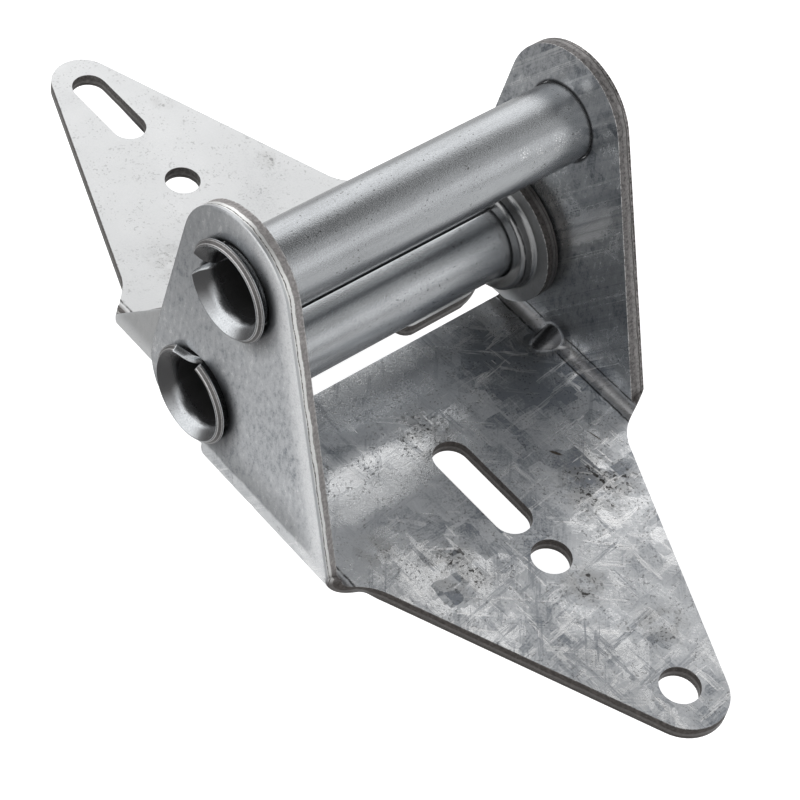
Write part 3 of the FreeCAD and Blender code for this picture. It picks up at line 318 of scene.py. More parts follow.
class SharedEffects:
    """The effects that more than one finish uses, each built once as a group."""

    SLANT = 0.8

    def __init__(self) -> None:
        """Build every group."""
        self.spangle = self.build_spangle()
        self.needles = self.build_needles()
        self.grain = self.build_grain()
        self.pits = self.build_pits()
        self.fold = self.build_fold()

    def turned(self, w: Wiring, vector: Value, turn: Value) -> tuple[Value, Value]:
        """Places along and across a direction that lies in the sheet.

        Args:
            w: the group's wiring.
            vector: where it is read, in millimetres.
            turn: the direction, in radians.

        Returns:
            The place along and the place across.
        """
        x, y, z = w.parts(vector)
        level = y + z * self.SLANT
        cosine, sine = turn.cos(), turn.sin()
        return x * cosine + level * sine, level * cosine - x * sine

    def build_spangle(self) -> NodeTree:
        """Zinc crystals: straight-sided grains, each with its own shade and feathered lines.

        Returns:
            A group that gives Shade from 0 to 1 and Height.
        """
        w, i, sink = new_group("zinc_spangle", {"Vector": ORIGIN, "Grain": 8.0, "Feather": 0.5},
                               ("Shade", "Height"))
        place = w.vec("DIVIDE", i["Vector"], w.join(i["Grain"], i["Grain"], i["Grain"]))
        bend = w.add("ShaderNodeTexNoise", {"Vector": place, "Scale": 1.3, "Detail": 2.0})
        tone = w.cells(w.vec("ADD", place, w.vec("SCALE", bend["Color"], 0.22)))
        along, across = self.turned(w, i["Vector"], tone[1] * 6.283)
        lines = w.noise(w.join(along * 0.22, across * 2.6, tone[2]), 1.0, 3.0, 0.6)
        feather = (lines - 0.5) * i["Feather"]
        sink.feed({"Shade": w.math("ADD", tone[0], feather * 2.0, clamp=True),
                   "Height": tone[2] * 0.4 + feather})
        return w.tree

    def build_needles(self) -> NodeTree:
        """Long straight shards of one direction, a few of them lit.

        Returns:
            A group that gives Mask from 0 to 1.
        """
        w, i, sink = new_group("zinc_needles", {"Vector": ORIGIN, "Turn": 0.0, "Length": 7.0, "Width": 1.6,
                                                "Share": 0.2, "Seed": 0.0}, ("Mask",))
        along, across = self.turned(w, i["Vector"], i["Turn"])
        tone = w.cells(w.join(along / i["Length"], across / i["Width"], i["Seed"]))
        lit = w.ease(tone[0], 1.0 - i["Share"], 1.0)
        streak = w.noise(w.join(along * 0.25, across * 3.2, i["Seed"]), 1.0, 2.0, 0.5)
        sink.feed({"Mask": w.math("MULTIPLY", lit, w.ease(streak, 0.35, 0.6), clamp=True)})
        return w.tree

    def build_grain(self) -> NodeTree:
        """Fine matte grain and broad cloudiness of a zinc coat.

        Returns:
            A group that gives Grain, Cloud and Smear.
        """
        w, i, sink = new_group("zinc_grain", {"Vector": ORIGIN, "Fine": 3.0, "Broad": 0.05, "Stretch": 1.0},
                               ("Grain", "Cloud", "Smear"))
        cloud = w.add("ShaderNodeTexNoise", {"Vector": i["Vector"], "Scale": i["Broad"], "Detail": 4.0,
                                             "Roughness": 0.55, "Distortion": 0.6})
        x, y, z = w.parts(i["Vector"])
        sink.feed({"Grain": w.noise(i["Vector"], i["Fine"], 3.0, 0.65), "Cloud": cloud["Fac"],
                   "Smear": w.noise(w.join(x / i["Stretch"], y, z), 0.55, 4.0, 0.6)})
        return w.tree

    def build_pits(self) -> NodeTree:
        """Scattered dark pits in the coat.

        Returns:
            A group that gives Spots, and Mask, which keeps them to patches, from 0 to 1.
        """
        w, i, sink = new_group("coat_pits", {"Vector": ORIGIN, "Fine": 1.0, "Level": 0.64, "Patch": 0.05},
                               ("Mask", "Spots"))
        dots = w.noise(i["Vector"], i["Fine"], 2.0, 0.45)
        spots = w.ease(dots, i["Level"], i["Level"] + 0.05)
        area = w.ease(w.noise(i["Vector"], i["Patch"], 2.0, 0.5), 0.42, 0.56)
        sink.feed({"Spots": spots, "Mask": w.math("MULTIPLY", spots, area, clamp=True)})
        return w.tree

    def build_fold(self) -> NodeTree:
        """Where a point lies in a folded sheet: depth from its outer face, and creases beside the folds.

        Returns:
            A group that gives Depth in millimetres, Crease and Bend from 0 to 1.
        """
        w, i, sink = new_group("folded_sheet", {"Vector": ORIGIN, "Middle": 0.0, "Half Width": 40.85},
                               ("Depth", "Crease", "Bend"))
        x, y, z = w.parts(i["Vector"])
        out = abs(x - i["Middle"])
        centre_x = i["Half Width"] - OUTER_BEND
        centre_z = WEB_TOP + INSIDE_BEND
        dx = (out - centre_x).max(0.0)
        dz = (centre_z - z).max(0.0)
        shift = (w.noise(i["Vector"], 0.35, 3.0, 0.6) - 0.5) * 0.5
        line = abs(out - centre_x + shift).min(abs(z - centre_z + shift))
        crease = w.ease(line, 0.0, 0.38, 1.0, 0.0)
        held = w.ease(w.noise(i["Vector"], 0.5, 2.0), 0.34, 0.48, 0.45, 1.0)
        front = w.ease(y, -47.0, -43.0)
        sink.feed({"Depth": OUTER_BEND - w.vec("LENGTH", w.join(dx, dz)), "Crease": crease * held * front,
                   "Bend": w.ease(dx, 0.0, 1.2) * w.ease(dz, 0.0, 1.2) * front})
        return w.tree


@dataclass(frozen=True)
class SheetFinish:
    """Galvanised coat on the faces of one folded sheet.

    Spots are given as centre and reach, painted light and shade patches and painted glints as centre, two
    half sizes and strength, nicks as centre, two half sizes and direction, and the rear slope as the foot,
    centre and radius of the round top.
    """

    name: str
    colour: Colour
    dark: Colour
    light: Colour
    roughness: float
    middle: float
    half_width: float
    spangle: float
    needles: float
    pits: float
    # Painted shade on the uprights' inner and outer faces.
    inner_upright_shade: float
    outer_upright_shade: float
    wave: float
    stains: Rows
    bores: Rows = ((0.0, 0.0),)
    darts: float = 0.0
    rear_slope: tuple[float, ...] | None = None
    clusters: Rows = ()
    light_and_shade_patches: Rows = ()
    glints: Rows = ()
    nicks: Rows = ()
    collar_shade: Colour = (0.05, 0.05, 0.052)
    # Painted shade, then painted highlights, on the outer face of the upright.
    dull_shade_tone: Colour = (0.12, 0.125, 0.13)
    rim_lighting_tone: Colour = (0.93, 0.94, 0.95)
    round_highlight_tone: Colour = (0.93, 0.94, 0.945)
    # Painted shade on the dart and on the inner bend.
    dart_shade_tone: Colour = (0.11, 0.11, 0.115)
    bend_shade_tone: Colour = (0.17, 0.16, 0.155)
    stain_tone: Colour = (0.20, 0.185, 0.16)
    pit_tone: Colour = (0.04, 0.035, 0.03)
    rust: Colour = (0.075, 0.055, 0.03)

    FOLD_LOW, FOLD_HIGH = -13.6, -9.0
    LIT_SHARDS = ((0.12, 9.0, 1.2, 3.1), (1.62, 6.0, 1.0, 9.7), (2.45, 8.0, 1.1, 15.2))
    DIM_SHARDS = ((0.12, 7.0, 1.3, 33.1), (1.62, 7.0, 1.2, 41.7), (0.85, 8.0, 1.0, 52.4))

    def blots(self, w: Wiring, x: Value, y: Value, spots: tuple, ragged: Value) -> Value | float:
        """Mask that is 1 inside any of some ragged-edged round spots.

        Args:
            w: the material's wiring.
            x: the place along the axis.
            y: the place along the sheet.
            spots: centre and reach of each, in millimetres.
            ragged: noise from 0 to 1 that frays the edges.

        Returns:
            The mask.
        """
        fray = 0.6 + ragged * 0.8
        found = [w.ease(w.vec("DISTANCE", w.join(x, y), (cx, cy, 0.0)) * fray, 0.3 * reach, reach, 1.0, 0.0)
                 for cx, cy, reach in spots]
        return largest(found) if found else 0.0

    def slope_edge(self, w: Wiring, y: Value, z: Value) -> Value:
        """Distance in millimetres from the upright's sloping edge and the round top above it.

        Args:
            w: the material's wiring.
            y: the place along the sheet.
            z: the height.

        Returns:
            The distance.
        """
        foot_y, foot_z, top_y, top_z, radius = self.rear_slope
        dy, dz = top_y - foot_y, top_z - foot_z
        turn = math.atan2(dz, dy) + math.asin(radius / math.hypot(dy, dz))
        along_y, along_z = math.cos(turn), math.sin(turn)
        line = (y - foot_y) * along_z - (z - foot_z) * along_y
        arc = radius - w.vec("DISTANCE", w.join(0.0, y, z), (0.0, top_y, top_z))
        share = w.ease((y - top_y) * along_y + (z - top_z) * along_z, -3.0, 3.0)
        return line * (1.0 - share) + arc * share

    def build(self, effects: SharedEffects) -> Material:
        """Make the material.

        Args:
            effects: the shared groups.

        Returns:
            The material.
        """
        material, w, shader = new_metal(self.name, 0.92)
        where = w.millimetres()
        x, y, z = w.parts(where)
        fold = w.group(effects.fold, {"Vector": where, "Middle": self.middle, "Half Width": self.half_width})
        inner = w.ease(fold["Depth"], 2.0, 2.8)
        outer = 1.0 - inner
        upright = w.ease(z, self.FOLD_LOW, self.FOLD_HIGH)
        flat = 1.0 - upright
        # Crystals of two sizes, livelier on the flat parts, with clouds and grain over them.
        lively = 1.0 - upright * (0.94 - inner * 0.54)
        crystals = w.group(effects.spangle, {"Vector": where, "Grain": 9.0, "Feather": 0.5})
        small = w.group(effects.spangle, {"Vector": w.vec("ADD", where, (31.0, 17.0, 5.0)), "Grain": 3.6,
                                          "Feather": 0.7})
        grain = w.group(effects.grain, {"Vector": where, "Fine": 3.0, "Broad": 0.035, "Stretch": 6.0})
        patch = w.ease(w.noise(where, 0.05, 2.0), 0.36, 0.58, 0.4, 1.1)
        facets = crystals["Shade"] * 0.6 + small["Shade"] * 0.4 - 0.5
        strength = lively * patch * self.spangle
        shade = facets * strength + 0.5 + (grain["Cloud"] - 0.5) * 0.8
        # Painted highlight and shade: lighter and darker patches on the flat parts, and painted glints on the
        # uprights' inner faces.
        for cx, cy, wide, deep, amount in self.light_and_shade_patches:
            apart = w.vec("LENGTH", w.join((x - cx) / wide, (y - cy) / deep)) + facets * 0.6
            shade = shade + w.ease(apart, 0.3, 1.25, 1.0, 0.0) * flat * amount
        for cy, cz, wide, deep, amount in self.glints:
            dy, dz = y - cy, z - cz
            apart = w.vec("LENGTH", w.join((dy + dz * 0.45) / wide, (dz - dy * 0.45) / deep))
            shade = shade + w.ease(apart, 0.2, 1.2, 1.0, 0.0) * (upright * inner) * amount
        shade = shade + (grain["Grain"] - 0.5) * 0.7
        mottle = w.noise(w.vec("MULTIPLY", where, (1.0, 1.0, 0.5)), 0.9, 5.0, 0.72)
        mottle = (mottle - 0.5) * (upright * 1.5)
        shade = w.math("ADD", shade, mottle, clamp=True)
        colour = w.mix(w.ease(shade, 0.0, 0.5), self.dark, self.colour)
        colour = w.mix(w.ease(shade, 0.5, 1.0), colour, self.light)
        # Shards, lit and dim, thicker in the clusters.
        crowd = self.blots(w, x, y, self.clusters, small["Shade"])
        share = 0.16 + crowd * 0.34
        strength = strength.max(crowd * lively)
        lit, dim = [largest([w.group(effects.needles, {"Vector": where, "Turn": turn, "Length": length,
                                                       "Width": width, "Share": share, "Seed": seed})["Mask"]
                             for turn, length, width, seed in shards]) * strength * self.needles
                    for shards in (self.LIT_SHARDS, self.DIM_SHARDS)]
        colour = w.mix(lit, colour, WHITE)
        colour = w.mix(dim * 0.8, colour, self.dark)
        # Painted shade: the uprights are darker than the flat parts, and their inner faces darker still.
        tone = w.mix(inner, (self.outer_upright_shade,) * 3, (self.inner_upright_shade,) * 3)
        colour = w.mix(upright, colour, w.mix(1.0, colour, tone, "MULTIPLY"))
        # Painted shade in the gap round each tube, and a painted shadow on the outer face beside it, towards
        # -Y.
        gap_shades, shadows = [], []
        for cy, cz in self.bores:
            apart = w.vec("DISTANCE", w.join(0.0, y, z), (0.0, cy, cz))
            lean = w.math("SUBTRACT", (cy - y) * 0.16, 0.2, clamp=True)
            gap_shades.append(w.ease(apart, 8.25, 8.8, 1.0, 0.0))
            shadows.append(w.ease(apart, 9.6, 14.5, 1.0, 0.0) * lean)
        gap_shade = largest(gap_shades) * upright * 0.92
        shadow = largest(shadows) * (upright * outer)
        colour = w.mix(gap_shade.max(shadow * 0.85), colour, SHADE_BLACK)
        # Painted shade: collars that stand proud of the sheet are darker below.
        proud = w.ease(fold["Depth"], 3.15, 3.4)
        colour = w.mix(proud * w.ease(z, -12.0, 2.0, 0.75, 0.1), colour, self.collar_shade)
        if self.rear_slope:
            # Painted highlight along the outer face's sloping edge and on the rounding below, and painted
            # shade between.
            edge = self.slope_edge(w, y, z)
            rim = w.ease(edge, 0.6, 5.0, 1.0, 0.0) * w.ease(y, -14.0, 2.0, 1.0, 0.0) * (upright * outer)
            rim = rim * w.ease(grain["Grain"], 0.2, 0.6, 0.5, 1.0)
            above_bend_shade = w.ease(z, -10.0, -0.5, 1.0, 0.0) * w.ease(edge, 3.0, 9.0, 0.3, 1.0)
            face_shade = (w.ease(y, -22.0, 8.0) * w.ease(z, 4.0, 40.0, 0.35, 1.0)).max(above_bend_shade)
            level = z + w.noise(where, 0.3, 3.0) * 1.2
            face_shade = face_shade * (outer * w.ease(level, -10.6, -9.6))
            colour = w.mix(face_shade * 0.5, colour, self.dull_shade_tone)
            colour = w.mix(rim * 0.8, colour, self.rim_lighting_tone)
            colour = w.mix(w.ease(level, -10.6, -9.6, 1.0, 0.0) * outer * 0.34, colour, self.round_highlight_tone)
        # The folds' inner sides: painted shade on the dart, on the bend and in the creases beside it.
        dart = w.ease(abs(y - DART_Y), 2.4, 4.2, self.darts, 0.0) * w.ease(abs(x), 29.5, 33.0)
        dart = dart * (inner * w.ease(z, -11.5, -9.0, 1.0, 0.0))
        colour = w.mix(dart * 0.55, colour, self.dart_shade_tone)
        bend = fold["Bend"] * inner * (1.0 - dart)
        colour = w.mix(bend * 0.62, colour, self.bend_shade_tone)
        crease = fold["Crease"] * inner * (1.0 - dart)
        colour = w.mix(crease * 0.9, colour, SHADE_BLACK)
        # Pits, stains and nicks.
        pits = w.group(effects.pits, {"Vector": where, "Fine": 0.85, "Level": 0.615, "Patch": 0.045})
        fine = w.group(effects.pits, {"Vector": w.vec("ADD", where, (7.0, 3.0, 1.0)), "Fine": 2.0,
                                      "Level": 0.60, "Patch": 0.2})
        near = self.blots(w, x, y, self.stains, w.noise(where, 0.4, 2.0))
        ragged = near * w.ease(w.noise(where, 0.3, 3.0), 0.38, 0.54) * flat
        dots = pits["Spots"].max(fine["Spots"] * 0.8)
        pit = (fine["Mask"] * flat * (0.5 * self.pits)).max(dots * ragged * self.pits)
        colour = w.mix(ragged * (0.3 * self.pits), colour, self.stain_tone)
        colour = w.mix(pit * 0.85, colour, self.pit_tone)
        for cx, cy, half, thin, turn in self.nicks:
            dx, dy = x - cx, y - cy
            along = dx * math.cos(turn) + dy * math.sin(turn)
            aside = dy * math.cos(turn) - dx * math.sin(turn)
            nick = w.ease(w.vec("LENGTH", w.join(along / half, aside / thin)), 0.6, 1.1, 1.0, 0.0)
            colour = w.mix(nick * (flat * inner) * 0.85, colour, self.rust)
        rough = self.roughness + (0.5 - shade) * 0.16 - lit * 0.1 + bend * 0.1
        rough = w.math("ADD", rough, pit * 0.3, clamp=True) - proud * 0.2
        # Rounded shading on the outer folds and the darts, a broad wave and a fine relief.
        edge = w.add("ShaderNodeBevel", {"Radius": (outer * 0.0012).max(dart * 0.0010)}, samples=4)
        broad = w.add("ShaderNodeBump", {"Height": w.noise(where, 0.05, 2.0, 0.5), "Strength": 1.0,
                                         "Distance": self.wave * MM, "Normal": edge["Normal"]})
        height = crystals["Height"] * strength * 0.2 + grain["Grain"] * 0.3
        height = height + small["Height"] * strength * 0.12 - pit * 0.6 - crease * 0.9 + mottle * 0.35
        bump = w.add("ShaderNodeBump", {"Height": height, "Strength": 0.45, "Distance": 0.1 * MM,
                                        "Normal": broad["Normal"]})
        shader.feed({"Base Color": colour, "Roughness": rough, "Normal": bump["Normal"]})
        return material


@dataclass(frozen=True)
class ShearedFinish:
    """The cut edge of a sheet: rolled rim, bright burnished band, then a torn brown-grey band and a burr."""

    name: str
    middle: float
    half_width: float
    burnish: Colour = (0.82, 0.82, 0.81)
    torn: Colour = (0.27, 0.258, 0.255)
    rim: Colour = (0.52, 0.53, 0.545)
    # Painted shade: the near-black of the cut edges on the flat parts.
    low: Colour = (0.052, 0.046, 0.043)
    burr: Colour = (0.62, 0.62, 0.62)
    line: Colour = (0.04, 0.036, 0.034)

    def build(self, effects: SharedEffects) -> Material:
        """Make the material.

        Args:
            effects: the shared groups.

        Returns:
            The material.
        """
        material, w, shader = new_metal(self.name, 0.8)
        where = w.millimetres()
        x, _, z = w.parts(where)
        fold = w.group(effects.fold, {"Vector": where, "Middle": self.middle, "Half Width": self.half_width})
        depth = fold["Depth"] + (w.noise(where, 0.22, 3.0, 0.6) - 0.5) * 0.9
        scored = w.noise(where, 1.6, 4.0, 0.7)
        raised = w.ease(z, -15.0, -11.0)
        near_side = w.ease(x, -6.0, 6.0, 1.0, 0.0)
        shine = raised * near_side
        # Painted light and shade on the torn band: lighter on the near side, almost black on the flat parts.
        torn = w.mix(w.ease(scored, 0.35, 0.7), self.torn, scaled(self.torn, 1.7))
        far = w.mix(w.ease(scored, 0.36, 0.6), scaled(self.torn, 0.4), scaled(self.torn, 0.85))
        torn = w.mix(near_side, far, torn)
        torn = w.mix(w.ease(w.noise(where, 0.5, 2.0), 0.55, 0.75, 0.0, 0.4), torn, scaled(self.torn, 1.1))
        low = w.mix(w.ease(scored, 0.35, 0.75), self.low, scaled(self.low, 2.2))
        torn = w.mix(raised, low, torn)
        # The burnished band, shown bright by a painted highlight only on the near uprights, the dark line
        # beside the rolled rim, the rim with painted light on the near uprights and painted shade on the flat
        # parts, and the burr, whose flecks are lighter on the uprights.
        band = w.ease(depth + (scored - 0.5) * 0.5, 1.45, 1.6, 1.0, 0.0) * (0.06 + shine * 0.94)
        colour = w.mix(band, torn, self.burnish)
        line = w.ease(depth, 0.62, 0.72) * w.ease(depth, 0.82, 0.95, 1.0, 0.0)
        colour = w.mix(line * w.ease(scored, 0.4, 0.55, 0.4, 0.95), colour, self.line)
        rim_lighting_tone = w.mix(raised, self.low, w.mix(w.ease(scored, 0.4, 0.6), self.low, self.torn))
        rim_lighting_tone = w.mix(shine, rim_lighting_tone, self.rim)
        colour = w.mix(w.ease(fold["Depth"], 0.45, 0.62, 1.0, 0.0), colour, rim_lighting_tone)
        fleck = w.ease(scored, 0.42, 0.58, 0.15, 0.9) * w.ease(raised, 0.0, 1.0, 0.35, 1.0)
        colour = w.mix(w.ease(fold["Depth"], 2.78, 2.95) * fleck, colour, self.burr)
        height = scored * w.ease(depth, 1.4, 1.8, 0.2, 1.0)
        bump = w.add("ShaderNodeBump", {"Height": height, "Strength": 0.5, "Distance": 0.15 * MM})
        shader.feed({"Base Color": colour, "Roughness": w.ease(depth, 1.4, 1.8, 0.34, 0.6),
                     "Normal": bump["Normal"]})
        return material


@dataclass(frozen=True)
class TubeFinish:
    """Drawn zinc coat on the rolled tubes, with painted shade and a rougher finish inside the bore, and bare
    on the cut rims.
    """

    name: str
    colour: Colour = (0.45, 0.465, 0.48)
    # Painted shade inside the bore.
    bore: Colour = (0.17, 0.168, 0.17)
    rim: Colour = (0.075, 0.072, 0.071)
    pit: Colour = (0.07, 0.068, 0.065)
    chip: Colour = (0.95, 0.95, 0.95)
    # Painted shade on the shaded side of each flare's cone.
    flare_shade: Colour = (0.045, 0.045, 0.046)
    # Painted highlight on the lines along the cut rims.
    line: Colour = (0.60, 0.60, 0.60)
    roughness: float = 0.19
    scuffs: Rows = ()

    def build(self, effects: SharedEffects) -> Material:
        """Make the material.

        Args:
            effects: the shared groups.

        Returns:
            The material.
        """
        material, w, shader = new_metal(self.name, 0.92)
        where = w.millimetres()
        grain = w.group(effects.grain, {"Vector": where, "Fine": 3.6, "Broad": 0.06, "Stretch": 9.0})
        painted_shade, cut, across = (w.add("ShaderNodeAttribute", attribute_name=name)["Fac"]
                               for name in ("painted_shade", "cut", "across"))
        # The drawn coat with its pits and chips.
        tone = (grain["Grain"] - 0.5) * 0.6 + (grain["Smear"] - 0.5) * 0.35
        tone = tone + (grain["Cloud"] - 0.5) * 0.35
        colour = w.mix(w.ease(tone, -0.35, 0.35), scaled(self.colour, 0.70), scaled(self.colour, 1.20))
        pits = w.group(effects.pits, {"Vector": where, "Fine": 1.7, "Level": 0.66, "Patch": 0.08})
        colour = w.mix(pits["Mask"] * 0.7, colour, self.pit)
        chips = w.ease(w.noise(where, 2.6, 3.0, 0.65), 0.54, 0.64, 0.0, 0.65)
        for cx, cy, cz, reach in self.scuffs:
            apart = w.vec("DISTANCE", where, (cx, cy, cz))
            colour = w.mix(w.ease(apart, 0.5 * reach, reach, 1.0, 0.0) * chips, colour, self.chip)
        # Painted shade in the bore and on the shaded side of each flare.
        colour = w.mix(painted_shade, colour, self.bore)
        cone = w.ease(abs(w.parts(where)[0]), 39.6, 40.4) * (1.0 - cut)
        colour = w.mix(painted_shade * cone * 0.85, colour, self.flare_shade)
        # The cut rims: bare, with two painted highlight lines.
        outer_highlight = w.ease(across, 0.10, 0.16) * w.ease(across, 0.24, 0.32, 1.0, 0.0)
        inner_highlight = w.ease(across, 0.70, 0.76) * w.ease(across, 0.84, 0.92, 1.0, 0.0)
        lines = w.math("ADD", outer_highlight * 0.5, inner_highlight * 0.8, clamp=True)
        lines = lines * w.ease(grain["Grain"], 0.3, 0.6, 0.5, 1.0)
        bare = w.mix(w.ease(grain["Grain"], 0.3, 0.7), self.rim, scaled(self.rim, 1.7))
        colour = w.mix(cut, colour, w.mix(lines, bare, self.line))
        rough = self.roughness + tone * 0.15 + cut * 0.16 - cone * 0.07
        height = grain["Grain"] * 0.6 + grain["Smear"] * 0.3
        bump = w.add("ShaderNodeBump", {"Height": height, "Strength": 0.6, "Distance": 0.1 * MM})
        shader.feed({"Base Color": colour, "Roughness": w.math("ADD", rough, painted_shade * 0.12, clamp=True),
                     "Normal": bump["Normal"]})
        return material


def baked(piece: Object) -> Mesh:
    """Turn a piece's modifiers into plain mesh.

    Args:
        piece: the object, which keeps its place and loses its modifiers.

    Returns:
        Its new mesh.
    """
    graph = bpy.context.evaluated_depsgraph_get()
    mesh = bpy.data.meshes.new_from_object(piece.evaluated_get(graph), depsgraph=graph)
    piece.modifiers.clear()
    piece.data = mesh
    mesh.name = piece.name
    return mesh


def place(name: str, data: ID) -> Object:
    """Add an object to the scene.

    Args:
        name: the object's name.
        data: its camera, lamp or mesh.

    Returns:
        The object.
    """
    thing = bpy.data.objects.new(name, data)
    bpy.context.scene.collection.objects.link(thing)
    return thing


@dataclass
class FoldedSheet:
    """A bent and pressed sheet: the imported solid's mesh with rolled and burred edges."""

    node: str
    body: str
    slot: str
    middle: float
    half_width: float
    bores: Rows = ((0.0, 0.0),)
    bore_gap: float = 0.12
    bend_extra: float = 1.7
    bend_depth: float = 2.6
    filled: float = 0.97
    bore_wall: tuple[float, float] = (7.9, 8.12)
    dart_from: float = 28.0
    dart_below: float = -8.0
    dart_reach: float = 3.0
    roll: float = 0.60
    merge: float = 0.002

    def beside_bend(self, p: Vector) -> tuple[float, float, float]:
        """Where a point lies from the nearer fold's centre line.

        Args:
            p: the point, in metres.

        Returns:
            The place from the middle, and how far past the centre line outwards and downwards.
        """
        x = p.x / MM - self.middle
        return x, abs(x) - (self.half_width - OUTER_BEND), WEB_TOP + INSIDE_BEND - p.z / MM

    def depth(self, p: Vector) -> float:
        """How far a point lies from the sheet's outer face.

        Args:
            p: the point, in metres.

        Returns:
            The depth in millimetres.
        """
        _, dx, dz = self.beside_bend(p)
        return OUTER_BEND - math.hypot(max(dx, 0.0), max(dz, 0.0))

    def across(self, p: Vector) -> Vector:
        """The sheet's own normal near a point, pointing out of its outer face.

        Args:
            p: the point, in metres.

        Returns:
            A unit vector.
        """
        x, dx, dz = self.beside_bend(p)
        way = Vector((math.copysign(max(dx, 0.0), x), 0.0, -max(dz, 0.0)))
        return way.normalized() if way.length > 1e-6 else Vector((0.0, 0.0, -1.0))

    def pressed(self, p: Vector) -> bool:
        """Whether a point lies where the stiffening dart is pressed into a fold.

        Args:
            p: the point, in metres.

        Returns:
            True on the dart and on the dent behind it.
        """
        beside = abs(p.x / MM - self.middle) > self.dart_from and p.z / MM < self.dart_below
        return beside and abs(p.y / MM - DART_Y) < self.dart_reach

    def reshape(self, bm: bmesh.types.BMesh) -> None:
        """Open the bores a little round the tubes, fill the dents and round the outer side of each fold.

        Args:
            bm: the sheet's mesh.
        """
        chords = [e for e in bm.edges if all(self.pressed(v.co) and self.depth(v.co) < 0.05 for v in e.verts)
                  and self.depth((e.verts[0].co + e.verts[1].co) / 2.0) > 0.2]
        bmesh.ops.subdivide_edges(bm, edges=chords, cuts=9)
        for vertex in bm.verts:
            p = vertex.co
            for y, z in self.bores:
                away = Vector((0.0, p.y - y * MM, p.z - z * MM))
                if self.bore_wall[0] * MM < away.length < self.bore_wall[1] * MM:
                    p += away.normalized() * self.bore_gap * MM
            deep = self.depth(p)
            if self.pressed(p) and 0.02 < deep < self.bend_depth:
                p += self.across(p) * self.filled * deep * MM
                deep = self.depth(p)
            share = min(max(1.0 - deep / self.bend_depth, 0.0), 1.0)
            if share <= 0.0:
                continue
            x, dx, dz = self.beside_bend(p)
            turn = math.atan2(max(dz, 0.0), max(dx, 0.0)) if max(dx, dz) > 0.0 else math.pi / 2.0
            beyond = max(-dz, 0.0) / 6.0 if dx > 0.0 else max(-dx, 0.0) / 4.0
            fade = max(1.0 - beyond, 0.0)
            fade = fade * fade * (3.0 - 2.0 * fade) * share * self.bend_extra * MM
            p.x -= math.copysign(fade * (1.0 - math.cos(turn)), x)
            p.z += fade * (1.0 - math.sin(turn))

    def mark(self, bm: bmesh.types.BMesh) -> None:
        """Give sheared faces the second finish, and weigh the edges to be rounded.

        Args:
            bm: the sheet's mesh.
        """
        for polygon in bm.faces:
            spot = polygon.calc_center_median()
            level = abs(polygon.normal.dot(self.across(spot)))
            sheared = level < 0.35 and -0.3 < self.depth(spot) < THICKNESS + 0.3
            polygon.material_index = 1 if sheared and not self.pressed(spot) else 0
        weight = bm.edges.layers.float.new("bevel_weight_edge")
        for e in bm.edges:
            if len(e.link_faces) != 2 or e.calc_face_angle(0.0) < math.radians(32.0):
                continue
            depths = [self.depth(v.co) for v in e.verts]
            if all(self.pressed(v.co) for v in e.verts) and max(depths) < 1.8:
                continue
            if max(depths) < 0.2:
                e[weight] = Side.ROLLED.value
            elif min(depths) > THICKNESS + 0.5:
                e[weight] = Side.LIP.value
            elif min(depths) > THICKNESS - 0.2:
                e[weight] = Side.BURR.value

    def build(self, face: Material, edge: Material) -> None:
        """Make the piece.

        Args:
            face: finish of the coated faces.
            edge: finish of the sheared edges.
        """
        name = self.node + "_sheet"
        mesh = bpy.data.meshes.new(name)
        bm = bmesh.new()
        bm.from_mesh(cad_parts[self.node].data)
        bmesh.ops.remove_doubles(bm, verts=bm.verts, dist=self.merge * MM)
        bmesh.ops.dissolve_limit(bm, angle_limit=math.radians(0.6), verts=bm.verts, edges=bm.edges)
        self.mark(bm)
        self.reshape(bm)
        bm.to_mesh(mesh)
        bm.free()
        for coat in (face, edge):
            mesh.materials.append(coat)
        piece = place(name, mesh)
        soften = piece.modifiers.new("sheared_edges", "BEVEL")
        soften.limit_method = "WEIGHT"
        soften.width = self.roll * MM
        soften.segments = 3
        mesh = baked(piece)
        for polygon in mesh.polygons:
            polygon.use_smooth = True
        mesh.set_sharp_from_angle(angle=math.radians(30.0))
        weigh = piece.modifiers.new("level_faces", "WEIGHTED_NORMAL")
        weigh.mode = "FACE_AREA"
        weigh.weight = 100
        weigh.keep_sharp = True
        mesh = baked(piece)
        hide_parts(self.node)
        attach(piece, self.body)
        LOG.info("%s: %d faces", piece.name, len(mesh.polygons))


